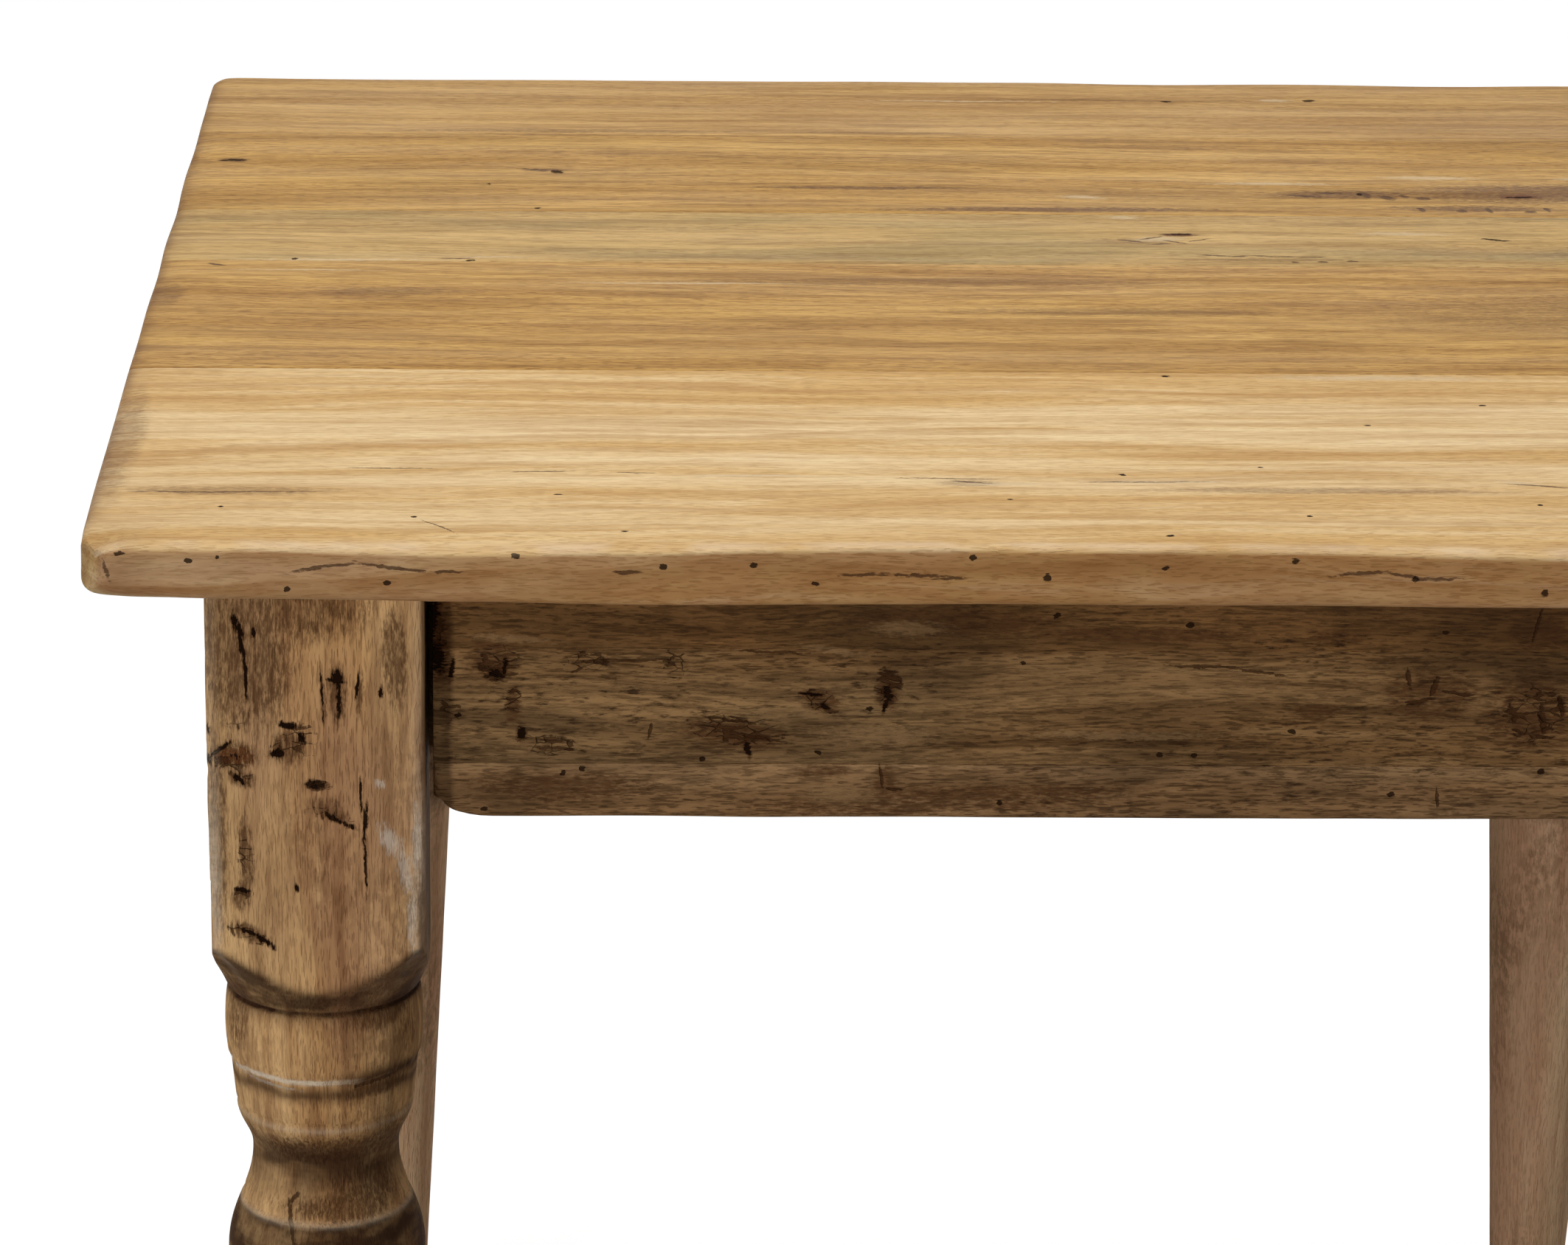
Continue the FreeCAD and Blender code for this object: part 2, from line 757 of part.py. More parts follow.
# Fasteners and buttons, each kind in one group
keep(bolts, "hanger_bolts")
keep(washers, "bolt_washers")
keep(nuts, "bolt_nuts")
keep(block_screws, "corner_block_screws")
keep(buttons, "top_buttons")
keep(button_screws, "top_button_screws")

doc.recompute()
for thing in doc.Objects:
    if "Invalid" in thing.State or "Error" in thing.State:
        raise RuntimeError(f"{thing.Name} did not build: {thing.State}")
for thing in sub_parts:
    if thing.Shape.isNull() or not thing.Shape.isValid():
        raise RuntimeError(f"{thing.Label} has a bad shape")

os.makedirs("parts", exist_ok=True)
for thing in sub_parts:
    thing.Shape.exportStep(f"parts/{thing.Label}.step")
    print(thing.Label, "solids", len(thing.Shape.Solids), "volume", round(thing.Shape.Volume))
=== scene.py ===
import math
import bpy
import numpy as np
from mathutils import Matrix, Vector


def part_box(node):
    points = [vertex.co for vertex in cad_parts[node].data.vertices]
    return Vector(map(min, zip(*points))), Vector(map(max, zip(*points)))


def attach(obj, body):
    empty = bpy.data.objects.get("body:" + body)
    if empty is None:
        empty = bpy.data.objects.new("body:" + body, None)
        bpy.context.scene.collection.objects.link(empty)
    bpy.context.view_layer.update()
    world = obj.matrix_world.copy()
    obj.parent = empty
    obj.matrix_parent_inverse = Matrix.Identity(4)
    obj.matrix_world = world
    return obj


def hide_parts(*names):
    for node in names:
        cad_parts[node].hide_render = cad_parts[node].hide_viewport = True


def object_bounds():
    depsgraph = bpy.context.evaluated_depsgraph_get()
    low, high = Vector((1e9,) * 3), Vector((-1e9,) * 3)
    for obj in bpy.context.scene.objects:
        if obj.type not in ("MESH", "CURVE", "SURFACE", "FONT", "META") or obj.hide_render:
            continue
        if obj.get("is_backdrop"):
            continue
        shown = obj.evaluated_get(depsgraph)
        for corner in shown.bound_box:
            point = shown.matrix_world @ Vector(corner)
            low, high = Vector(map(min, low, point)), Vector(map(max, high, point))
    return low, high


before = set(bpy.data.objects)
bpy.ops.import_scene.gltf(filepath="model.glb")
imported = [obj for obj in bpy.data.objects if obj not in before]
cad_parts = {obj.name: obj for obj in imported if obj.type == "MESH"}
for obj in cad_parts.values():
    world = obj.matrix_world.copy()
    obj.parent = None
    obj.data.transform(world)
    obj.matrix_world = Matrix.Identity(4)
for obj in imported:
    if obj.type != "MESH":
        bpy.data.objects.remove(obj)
cad_low, cad_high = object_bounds()

# Square dining table of reclaimed pine: a top of five old planks on four turned legs,
# with an apron of three glued staves on each side and a block behind every corner.
# Its lengths are in mm until a mesh or a shader takes them; those of the room are in metres.


# The photographer's place: in front and left of the middle, 0.8 m above the top and 2.5 m
# from its front edge, with a long lens and the camera held a shade out of level.
PHOTO_WIDTH_PX = 2126
FOCAL_PX = 7849.3
SENSOR_MM = 36.0
EYE = Vector((-0.2119, -2.9243, 1.5529))
YAW, PITCH, ROLL = (math.radians(angle) for angle in (1.70, 18.52, 0.79))

ahead = Vector((math.sin(YAW) * math.cos(PITCH), math.cos(YAW) * math.cos(PITCH), -math.sin(PITCH)))
level = Vector((math.cos(YAW), -math.sin(YAW), 0.0))
above = level.cross(ahead)
across = level * math.cos(ROLL) + above * math.sin(ROLL)
upright = above * math.cos(ROLL) - level * math.sin(ROLL)
camera_data = bpy.data.cameras.new("camera")
camera_data.sensor_width = SENSOR_MM
camera_data.lens = FOCAL_PX / PHOTO_WIDTH_PX * SENSOR_MM
camera = bpy.data.objects.new("camera", camera_data)
camera.matrix_world = Matrix(
    [(across[i], upright[i], -ahead[i], EYE[i]) for i in range(3)] + [(0, 0, 0, 1)]
)
bpy.context.scene.collection.objects.link(camera)
bpy.context.scene.camera = camera
bpy.context.scene.view_settings.view_transform = "Standard"


# The studio: a floor and a room that the camera sees as white, a wide soft light overhead, a
# small low one at the front left, which sets the shadow of the leg on the apron, and
# weak soft ones in front and behind that fill the shadows under the top.
ROOM_GLOW = 0.16
FLOOR_SPAN = 14.0
FLOOR_GREY = 0.24
FLOOR_LIFT = 0.94
LAMPS = {
    "overhead_light": ((-0.2, -0.1, 2.9), 1.7, 41.0),
    "front_left_light": ((-4.67, -4.98, 1.06), 0.63, 135.0),
    "front_fill_light": ((0.9, -6.2, 0.75), 1.6, 30.0),
    "rear_fill_light": ((4.6, 4.9, 1.30), 1.6, 45.0),
}


def feed(tree, socket, value):
    """Gives a socket a plain value or another node's output."""
    if isinstance(value, bpy.types.NodeSocket):
        tree.links.new(value, socket)
    else:
        socket.default_value = value


def shader_node(tree, kind, inputs=None, **settings):
    """A node of the tree, with its settings and what its inputs are fed."""
    made = tree.nodes.new(kind)
    for name, value in settings.items():
        setattr(made, name, value)
    for name, value in (inputs or {}).items():
        feed(tree, made.inputs[name], value)
    return made


def maths(tree, operation, first, second=0.0, third=0.0):
    """One sum on values: the output of a Math node."""
    inputs = {0: first, 1: second, 2: third}
    return shader_node(tree, "ShaderNodeMath", inputs, operation=operation).outputs[0]


def seen_directly(tree):
    """1 for the camera's rays and for those that a gloss or a glass sends on, 0 for scattered light."""
    path = shader_node(tree, "ShaderNodeLightPath").outputs
    direct = maths(tree, "MAXIMUM", path["Is Camera Ray"], path["Is Glossy Ray"])
    return maths(tree, "MAXIMUM", direct, path["Is Transmission Ray"])


def fresh_material(name):
    """An empty material, its node tree and its output node."""
    material = bpy.data.materials.new(name)
    material.use_nodes = True
    material.node_tree.nodes.clear()
    return material, material.node_tree, shader_node(material.node_tree, "ShaderNodeOutputMaterial")


room = bpy.data.worlds.new("studio")
room.use_nodes = True
room.node_tree.nodes.clear()
bpy.context.scene.world = room
glow = maths(room.node_tree, "MULTIPLY_ADD", seen_directly(room.node_tree), 1.0 - ROOM_GLOW, ROOM_GLOW)
sky = shader_node(room.node_tree, "ShaderNodeBackground", {"Color": (1, 1, 1, 1), "Strength": glow})
room_end = shader_node(room.node_tree, "ShaderNodeOutputWorld")
room.node_tree.links.new(sky.outputs[0], room_end.inputs["Surface"])

floor_paint, tree, end = fresh_material("studio_floor")
shaded = shader_node(tree, "ShaderNodeBsdfDiffuse", {"Color": (FLOOR_GREY, FLOOR_GREY, FLOOR_GREY, 1)})
lifted = shader_node(tree, "ShaderNodeEmission", {"Strength": FLOOR_LIFT})
bright = shader_node(tree, "ShaderNodeAddShader", {0: shaded.outputs[0], 1: lifted.outputs[0]})
choice = shader_node(
    tree,
    "ShaderNodeMixShader",
    {0: seen_directly(tree), 1: shaded.outputs[0], 2: bright.outputs[0]},
)
below = shader_node(tree, "ShaderNodeNewGeometry").outputs["Backfacing"]
open_below = shader_node(tree, "ShaderNodeBsdfTransparent")
one_sided = shader_node(
    tree, "ShaderNodeMixShader", {0: below, 1: choice.outputs[0], 2: open_below.outputs[0]}
)
tree.links.new(one_sided.outputs[0], end.inputs["Surface"])
floor_mesh = bpy.data.meshes.new("studio_floor")
reach = FLOOR_SPAN / 2
floor_mesh.from_pydata(
    [(-reach, -reach, 0), (reach, -reach, 0), (reach, reach, 0), (-reach, reach, 0)], [], [(0, 1, 2, 3)]
)
floor_mesh.materials.append(floor_paint)
floor = bpy.data.objects.new("studio_floor", floor_mesh)
bpy.context.scene.collection.objects.link(floor)
floor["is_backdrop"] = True

table_middle = (cad_low + cad_high) / 2
for name, (place, size, power) in LAMPS.items():
    lamp_data = bpy.data.lights.new(name, "AREA")
    lamp_data.shape = "SQUARE"
    lamp_data.size = size
    lamp_data.energy = power
    lamp = bpy.data.objects.new(name, lamp_data)
    lamp.location = place
    lamp.visible_camera = False
    lamp.rotation_mode = "QUATERNION"
    lamp.rotation_quaternion = (table_middle - Vector(place)).to_track_quat("-Z", "Y")
    bpy.context.scene.collection.objects.link(lamp)


# Top: five reclaimed pine planks, 29 mm thick, glued edge to edge with loose tongues.
# Years of use wore the outer arrises into waves and knocked the near left corner off.
# The boards are waxed, and have worm holes, checks, knots and stains along the grain.
MM = 0.001
PLANKS = ("rear", "mid_rear", "centre", "mid_front", "front")
TOP_CORNER_ROUND = 18
TOP_UPPER_ROUND = 2.4
TOP_LOWER_ROUND = 3
# a plank's mesh is a lattice with these steps over its sides and its thickness, and with closer
# lines near its worn sides, its joints and its arrises: how wide each zone is, and its steps
PLANK_STEP, THICKNESS_STEP = 4.5, 3
RIM_ZONE, RIM_LINES = 24, 12
JOINT_ZONE, JOINT_LINES = 1.2, 1
ARRIS_ZONE, ARRIS_LINES = 12, 8
# how deep the joints are pressed in, and how far the upper side and the edges wave
JOINT_GROOVE = 0.35
SURFACE_WAVE = 0.25
FACE_WAVE = 0.9
# place along the front edge, how far the arris is worn down there and the lower arris up
FRONT_WEAR = (
    (-457, 3.0, 6.5), (-430, 1.9, 3.4), (-385, 1.9, 2.6), (-325, 3.4, 2.0), (-290, 3.9, 1.4),
    (-209, 2.9, 0.2), (-145, 1.2, 0.4), (-60, 0.2, 1.1), (100, 0.9, 0.8), (214, 3.4, 0.6), (300, 2.2, 1.4),
    (390, 0.8, 0.9), (457, 2.8, 2.6),
)
KNOCKED_CORNER = (-457, -457)
KNOCK_DEPTH = 8.0
KNOCK_REACH = 36
KNOCK_FACET = 10.5
REAR_CORNER_FACET = 9.0
# how much of a cut corner's slant lies along X and along Y
FACET_X, FACET_Y = 0.8, 0.6
LEFT_END_WEAR = 1.3
END_WEAR_SHARE = 0.66


def rgba(red, green, blue):
    """A colour given in display values of 0 to 255, as the linear colour that a shader takes."""
    share = np.array([red, green, blue]) / 255
    linear = np.where(share <= 0.04045, share / 12.92, ((share + 0.055) / 1.055) ** 2.4)
    return (*(float(part) for part in linear), 1.0)


def ripple(points, wavelength, seed):
    """Smooth irregular height at each point: twice the mean of eight plane waves, held between -1
    and 1. Their directions, phases and lengths, about the wavelength, are drawn from the seed."""
    draw = np.random.default_rng(seed)
    total = np.zeros(len(points))
    for _ in range(8):
        direction = draw.normal(size=3)
        direction *= 2 * np.pi * draw.uniform(0.6, 1.6) / (wavelength * np.linalg.norm(direction))
        total += np.sin(points @ direction + draw.uniform(0, 2 * np.pi))
    return np.clip(total / 4, -1, 1)


def rolling(points, wavelength, seed):
    """The same irregular height as a share from 0 to 1."""
    return 0.5 + 0.5 * ripple(points, wavelength, seed)


def nearness(gap, reach):
    """1 at an edge, falling evenly to 0 at a distance of reach."""
    return np.clip(1 - gap / reach, 0, 1)


def bell(distance, width):
    """The bell curve exp(-(distance / width)^2): 1 on a line, and near 0 two widths from it."""
    return np.exp(-((distance / width) ** 2))


def eased(places, stations):
    """Smooth values between given stations: each run climbs as 3t^2 - 2t^3."""
    at, value = (np.array(column, float) for column in zip(*stations))
    run = np.clip(np.searchsorted(at, places, side="right") - 1, 0, len(at) - 2)
    share = np.clip((places - at[run]) / (at[run + 1] - at[run]), 0, 1)
    share = share * share * (3 - 2 * share)
    return value[run] + (value[run + 1] - value[run]) * share


def cut_lines(low, high, step, low_zone, high_zone, zone_lines):
    """Lines of a lattice from low to high: even steps, with closer ones inside the worn zones."""
    first = low + low_zone * np.linspace(0, 1, zone_lines + 1) if low_zone else np.array([low])
    last = high - high_zone * np.linspace(1, 0, zone_lines + 1) if high_zone else np.array([high])
    count = max(2, int(round((last[0] - first[-1]) / step)) + 1)
    return np.concatenate([first[:-1], np.linspace(first[-1], last[0], count), last[1:]])


def lattice_skin(x, y, z):
    """Closed skin of a block cut by the lines x, y and z. A corner of the skin is a triple of line
    numbers; each side is a grid over two of them, and equal triples are one vertex."""
    counts = (len(x), len(y), len(z))
    keys = []
    for axis in range(3):
        one, two = (other for other in range(3) if other != axis)
        for end, outward in ((0, axis == 1), (counts[axis] - 1, axis != 1)):
            triple = [None, None, None]
            triple[one], triple[two] = np.meshgrid(
                np.arange(counts[one]), np.arange(counts[two]), indexing="ij"
            )
            triple[axis] = np.full_like(triple[one], end)
            key = (triple[0] * counts[1] + triple[1]) * counts[2] + triple[2]
            quad = np.stack([key[:-1, :-1], key[1:, :-1], key[1:, 1:], key[:-1, 1:]], -1).reshape(-1, 4)
            keys.append(quad if outward else quad[:, ::-1])
    corners, faces = np.unique(np.concatenate(keys), return_inverse=True)
    across_two = corners // counts[2]
    points = np.stack([x[across_two // counts[1]], y[across_two % counts[1]], z[corners % counts[2]]], -1)
    return points.astype(float), faces.reshape(-1, 4)


def round_rims(points, low, high, worn, corner, upper, lower):
    """Rounds a block's worn sides. In plan a square ring about a corner's centre becomes a circle of
    that size; in section the same is done with the rim's upper and lower rounds."""
    far = 10 * (high[0] - low[0])
    gaps = {
        "left": points[:, 0] - low[0],
        "right": high[0] - points[:, 0],
        "front": points[:, 1] - low[1],
        "rear": high[1] - points[:, 1],
    }
    gap = {side: gaps[side] if side in worn else np.full(len(points), far) for side in gaps}
    out_x = np.where(gap["left"] < gap["right"], -1.0, 1.0)
    out_y = np.where(gap["front"] < gap["rear"], -1.0, 1.0)
    push = np.stack(
        [
            np.clip(corner - np.minimum(gap["left"], gap["right"]), 0, None),
            np.clip(corner - np.minimum(gap["front"], gap["rear"]), 0, None),
        ],
        -1,
    )
    square = push.max(1)
    circle = np.maximum(np.hypot(push[:, 0], push[:, 1]), 1e-9)
    shrink = (square / circle - 1)[:, None] * push * np.stack([out_x, out_y], -1)
    points[:, :2] += np.where(square[:, None] > 0, shrink, 0)
    outward = push / circle[:, None] * np.stack([out_x, out_y], -1)
    inset = corner - square
    for radius, level, sign in ((upper, high[2], 1), (lower, low[2], -1)):
        radius = np.broadcast_to(radius, inset.shape)
        side = np.clip(1 - inset / radius, 0, None)
        rise = np.clip(1 - sign * (level - points[:, 2]) / radius, 0, None)
        both = (side > 0) & (rise > 0) & (square > 0)
        scale = np.where(both, np.maximum(side, rise) / np.maximum(np.hypot(side, rise), 1e-9), 1)
        moved = radius * side * (1 - scale)
        points[:, :2] -= outward * np.where(both, moved, 0)[:, None]
        points[:, 2] -= np.where(both, sign * radius * rise * (1 - scale), 0)


def make_piece(name, points, faces, material, slot, stands_for, sharp_deg=40, **marks):
    """Puts a surface given in mm into a mesh in metres, and joins it to the table."""
    mesh = bpy.data.meshes.new(name)
    mesh.vertices.add(len(points))
    mesh.vertices.foreach_set("co", (points * MM).astype(np.float32).ravel())
    mesh.loops.add(faces.size)
    mesh.loops.foreach_set("vertex_index", faces.astype(np.int32).ravel())
    mesh.polygons.add(len(faces))
    mesh.polygons.foreach_set("loop_start", np.arange(0, faces.size, 4, dtype=np.int32))
    mesh.polygons.foreach_set("use_smooth", np.ones(len(faces), bool))
    for mark, values in marks.items():
        attribute = mesh.attributes.new(mark, "FLOAT", "POINT")
        attribute.data.foreach_set("value", np.broadcast_to(values, len(points)).astype(np.float32))
    mesh.update(calc_edges=True)
    mesh.set_sharp_from_angle(angle=math.radians(sharp_deg))
    mesh.materials.append(material)
    piece = bpy.data.objects.new(name, mesh)
    bpy.context.scene.collection.objects.link(piece)
    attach(piece, "root")
    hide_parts(stands_for)


def new_group(name, inputs, outputs):
    """An empty node group, the sockets that carry its named inputs and those that take its outputs."""
    group = bpy.data.node_groups.new(name, "ShaderNodeTree")
    kinds = {float: "NodeSocketFloat", tuple: "NodeSocketVector", list: "NodeSocketColor"}
    for label, value in inputs.items():
        socket = group.interface.new_socket(label, in_out="INPUT", socket_type=kinds[type(value)])
        socket.default_value = value
    for label, kind in outputs.items():
        group.interface.new_socket(label, in_out="OUTPUT", socket_type=kinds[kind])
    start = group.nodes.new("NodeGroupInput")
    return group, start.outputs, group.nodes.new("NodeGroupOutput").inputs


def use_group(tree, group, inputs):
    """The outputs of a group placed in a material with its own values."""
    return shader_node(tree, "ShaderNodeGroup", inputs, node_tree=group).outputs


def vector_maths(tree, operation, first, second):
    """One sum on vectors: the output of a Vector Math node."""
    return shader_node(tree, "ShaderNodeVectorMath", {0: first, 1: second}, operation=operation).outputs[0]


def stretched_noise(tree, vector, scale, detail=2.0, rough=0.5):
    """Noise on coordinates that are scaled apart along and across the grain, in features per metre."""
    apart = vector_maths(tree, "MULTIPLY", vector, scale)
    inputs = {"Vector": apart, "Scale": 1.0, "Detail": detail, "Roughness": rough}
    return shader_node(tree, "ShaderNodeTexNoise", inputs, noise_dimensions="3D").outputs


def ramp_between(tree, value, low, high, start=0.0, end=1.0):
    """Smooth climb from start to end while the value goes from low to high."""
    inputs = {"Value": value, "From Min": low, "From Max": high, "To Min": start, "To Max": end}
    made = shader_node(tree, "ShaderNodeMapRange", inputs, interpolation_type="SMOOTHSTEP")
    return made.outputs["Result"]


# the sockets of a Mix node that take two colours, and the one that gives their mix
MIX_UNDER, MIX_OVER, MIX_RESULT = 6, 7, 2


def blended(tree, share, under, over, kind="MIX"):
    """Two colours laid over each other by a share."""
    inputs = {"Factor": share, MIX_UNDER: under, MIX_OVER: over}
    settings = {"data_type": "RGBA", "blend_type": kind, "clamp_factor": True}
    return shader_node(tree, "ShaderNodeMix", inputs, **settings).outputs[MIX_RESULT]


def build_grain():
    """Sawn softwood, grain along X of its vector: growth rings about a pith beside the board, which
    wander along the grain, streaks of heartwood in three widths, fibres and dark resin dashes."""
    tree, given, out = new_group(
        "pine_grain",
        {
            "Vector": (0.0, 0.0, 0.0),
            "Shift": (0.0, 0.0, 0.0),
            "Pith": (0.0, 0.1, -0.3),
            "Ring": 0.009,
            "Pale": [0.6, 0.4, 0.2, 1.0],
            "Tan": [0.5, 0.3, 0.14, 1.0],
            "Dark": [0.2, 0.1, 0.04, 1.0],
            "Tint": [0.4, 0.3, 0.2, 1.0],
            "Ring Share": 0.4,
            "Streak Share": 0.7,
            "Fibre Share": 0.5,
            "Dash Share": 0.4,
            "Tint Share": 0.3,
        },
        {"Color": list, "Height": float},
    )
    moved = vector_maths(tree, "ADD", given["Vector"], given["Shift"])
    sway = stretched_noise(tree, moved, (1.6, 5.0, 5.0), 3.0)["Color"]
    jitter = stretched_noise(tree, moved, (9.0, 30.0, 30.0), 2.0)["Color"]
    bent, streaky = given["Vector"], moved
    for offset, amount in ((sway, 0.06), (jitter, 0.008)):
        across_grain = vector_maths(tree, "MULTIPLY", offset, (0.0, amount, amount))
        bent = vector_maths(tree, "ADD", bent, across_grain)
        streaky = vector_maths(tree, "ADD", streaky, across_grain)
    from_pith = vector_maths(tree, "SUBTRACT", bent, given["Pith"])
    flat = vector_maths(tree, "MULTIPLY", from_pith, (0.02, 1.0, 1.0))
    radius = shader_node(tree, "ShaderNodeVectorMath", {0: flat}, operation="LENGTH").outputs["Value"]
    ring = maths(tree, "DIVIDE", radius, given["Ring"])
    phase = maths(tree, "FRACT", ring)
    early = ramp_between(tree, phase, 0.20, 0.84)
    late = maths(tree, "MULTIPLY", early, ramp_between(tree, phase, 0.99, 0.88))
    number = maths(tree, "FLOOR", ring)
    each = shader_node(tree, "ShaderNodeTexWhiteNoise", {"W": number}, noise_dimensions="1D").outputs["Value"]
    late = maths(tree, "MULTIPLY", late, ramp_between(tree, each, 0.0, 1.0, 0.15, 1.0))
    broad = stretched_noise(tree, streaky, (1.1, 24.0, 24.0), 3.0, 0.6)["Fac"]
    thin = stretched_noise(tree, streaky, (5.0, 105.0, 105.0), 4.0, 0.65)["Fac"]
    fine = stretched_noise(tree, streaky, (30.0, 520.0, 520.0), 3.0, 0.6)["Fac"]
    dash = stretched_noise(tree, moved, (130.0, 1150.0, 1150.0), 1.0)["Fac"]
    dash = ramp_between(tree, dash, 0.54, 0.66)
    cloud = stretched_noise(tree, moved, (4.0, 16.0, 16.0), 2.0)["Fac"]

    def laid(under, over, where, share, scale=1.0):
        """One colour over another where a mask shows, by the share and the scale given."""
        amount = maths(tree, "MULTIPLY", where, given[share])
        if scale != 1.0:
            amount = maths(tree, "MULTIPLY", amount, scale)
        return blended(tree, amount, under, given[over])

    colour = laid(given["Pale"], "Tan", ramp_between(tree, broad, 0.36, 0.62), "Streak Share")
    colour = laid(colour, "Tint", ramp_between(tree, cloud, 0.46, 0.64), "Tint Share")
    colour = laid(colour, "Dark", late, "Ring Share")
    colour = laid(colour, "Dark", ramp_between(tree, thin, 0.47, 0.68), "Streak Share", 0.55)
    colour = laid(colour, "Pale", ramp_between(tree, thin, 0.48, 0.34), "Streak Share", 0.6)
    colour = laid(colour, "Dark", ramp_between(tree, fine, 0.46, 0.64), "Fibre Share", 0.6)
    busy = maths(tree, "MULTIPLY", dash, ramp_between(tree, broad, 0.38, 0.60, 0.35, 1.0))
    colour = laid(colour, "Dark", busy, "Dash Share")
    height = maths(tree, "MULTIPLY_ADD", late, 0.25, maths(tree, "MULTIPLY", fine, -0.6))
    height = maths(tree, "MULTIPLY_ADD", dash, -0.5, height)
    height = maths(tree, "MULTIPLY_ADD", thin, 0.4, height)
    tree.links.new(colour, out["Color"])
    tree.links.new(height, out["Height"])
    return tree


def build_mark():
    """One blemish: an ellipsoid about its place, turned and sized. Depth is 1 at its middle and 0 on
    its surface and beyond, and never less than the depth of the blemish before it."""
    apart = (0.0, 0.0, 0.0)
    small = (0.01, 0.01, 0.01)
    inputs = {"Vector": apart, "Place": apart, "Turn": apart, "Size": small, "Before": 0.0}
    tree, given, out = new_group("blemish", inputs, {"Depth": float})
    seat = {"Vector": "Vector", "Location": "Place", "Rotation": "Turn", "Scale": "Size"}
    inputs = {socket: given[label] for socket, label in seat.items()}
    inside = shader_node(tree, "ShaderNodeMapping", inputs, vector_type="TEXTURE").outputs[0]
    ball = shader_node(tree, "ShaderNodeTexGradient", {"Vector": inside}, gradient_type="SPHERICAL")
    tree.links.new(maths(tree, "MAXIMUM", ball.outputs["Fac"], given["Before"]), out["Depth"])
    return tree


GRAIN = build_grain()
BLEMISH = build_mark()


def ragged(tree, vector, coarse, fine):
    """Coordinates shaken by noise, so that what is drawn on them gets bent and torn edges. The two
    amounts are in mm."""
    for scale, amount in ((28.0, coarse), (330.0, fine)):
        noise = stretched_noise(tree, vector, (scale, scale, scale), 2.0)["Color"]
        centred = vector_maths(tree, "SUBTRACT", noise, (0.5, 0.5, 0.5))
        inputs = {0: centred, "Scale": 2 * amount * MM}
        shake = shader_node(tree, "ShaderNodeVectorMath", inputs, operation="SCALE").outputs[0]
        vector = vector_maths(tree, "ADD", vector, shake)
    return vector


def scattered(tree, vector, rows, to_space):
    """How deep inside any of a list of blemishes a point is. A row is (place along, place across,
    half length, half width, turn in degrees), which to_space sets in the piece."""
    depth = 0.0
    for row in rows:
        place, turn, size = to_space(*row)
        mark = {
            "Vector": vector,
            "Place": [value * MM for value in place],
            "Turn": [math.radians(value) for value in turn],
            "Size": [value * MM for value in size],
            "Before": depth,
        }
        depth = use_group(tree, BLEMISH, mark)["Depth"]
    return depth


TOP_Z = cad_high.z / MM
LEFT_X, FRONT_Y, REAR_Y = cad_low.x / MM, cad_low.y / MM, cad_high.y / MM
BLEMISH_DEPTH = 4


def on_top(x, y, half_length, half_width, turn):
    """A blemish on the upper side of the top."""
    return (x, y, TOP_Z), (0, 0, turn), (half_length, half_width, BLEMISH_DEPTH)


def on_front_edge(x, z, half_length, half_width, turn):
    """A blemish on the front edge of the top."""
    return (x, FRONT_Y, z), (0, -turn, 0), (half_length, BLEMISH_DEPTH, half_width)


HOLE_BROWN = rgba(34, 18, 8)
SCORCH_BROWN = rgba(78, 44, 20)
STAIN_BROWN = rgba(98, 64, 37)
KNOT_RED = rgba(116, 66, 32)
CHIP_CREAM = rgba(222, 196, 156)
END_BROWN = rgba(92, 54, 26)
FACE_SHADE = rgba(228, 208, 204)
# the pale of the painted highlight along the front arris, over rubbed wear
ARRIS_HIGHLIGHT_PALE = rgba(236, 208, 172)
CHECK_BROWN = rgba(72, 42, 20)
# how far each kind of blemish reaches past its own size, with its halo
BLEMISH_GROWTH = {"hole": 2.1, "pin": 1.5, "check": 1.5}
# for each kind of hole, the depths at which its dark begins and is full, how dark it is, and its bump
PITS = {"pin": (0.26, 0.44, 0.90, -2.5), "hole": (0.46, 0.64, 0.92, -3.0)}
# how far the outlines of blemishes are shaken, coarsely and finely
RAGGED_COARSE, RAGGED_FINE = 2.4, 0.9


def torn_patch(tree, vector, uneven, colour, height):
    """A patch where the fibres broke across: blocky cracks a few mm apart, which are the walls
    between the cells of a stretched cell pattern, thin out with noise and shade the wood."""
    scaled = vector_maths(tree, "MULTIPLY", vector, (105.0, 105.0, 250.0))
    cells = {"Vector": scaled, "Scale": 1.0}
    walls = shader_node(tree, "ShaderNodeTexVoronoi", cells, feature="DISTANCE_TO_EDGE").outputs["Distance"]
    thinned = stretched_noise(tree, vector, (60.0, 60.0, 110.0), 2.0)["Fac"]
    width = ramp_between(tree, thinned, 0.40, 0.66, 0.0, 0.16)
    crack = ramp_between(tree, maths(tree, "SUBTRACT", walls, width), 0.03, -0.03)
    patch = ramp_between(tree, uneven, 0.08, 0.45)
    share = maths(tree, "MULTIPLY", crack, patch)
    colour = blended(tree, maths(tree, "MULTIPLY", patch, 0.16), colour, SCORCH_BROWN)
    colour = blended(tree, maths(tree, "MULTIPLY", share, 0.75), colour, CHECK_BROWN)
    return colour, maths(tree, "MULTIPLY_ADD", share, -2.2, height)


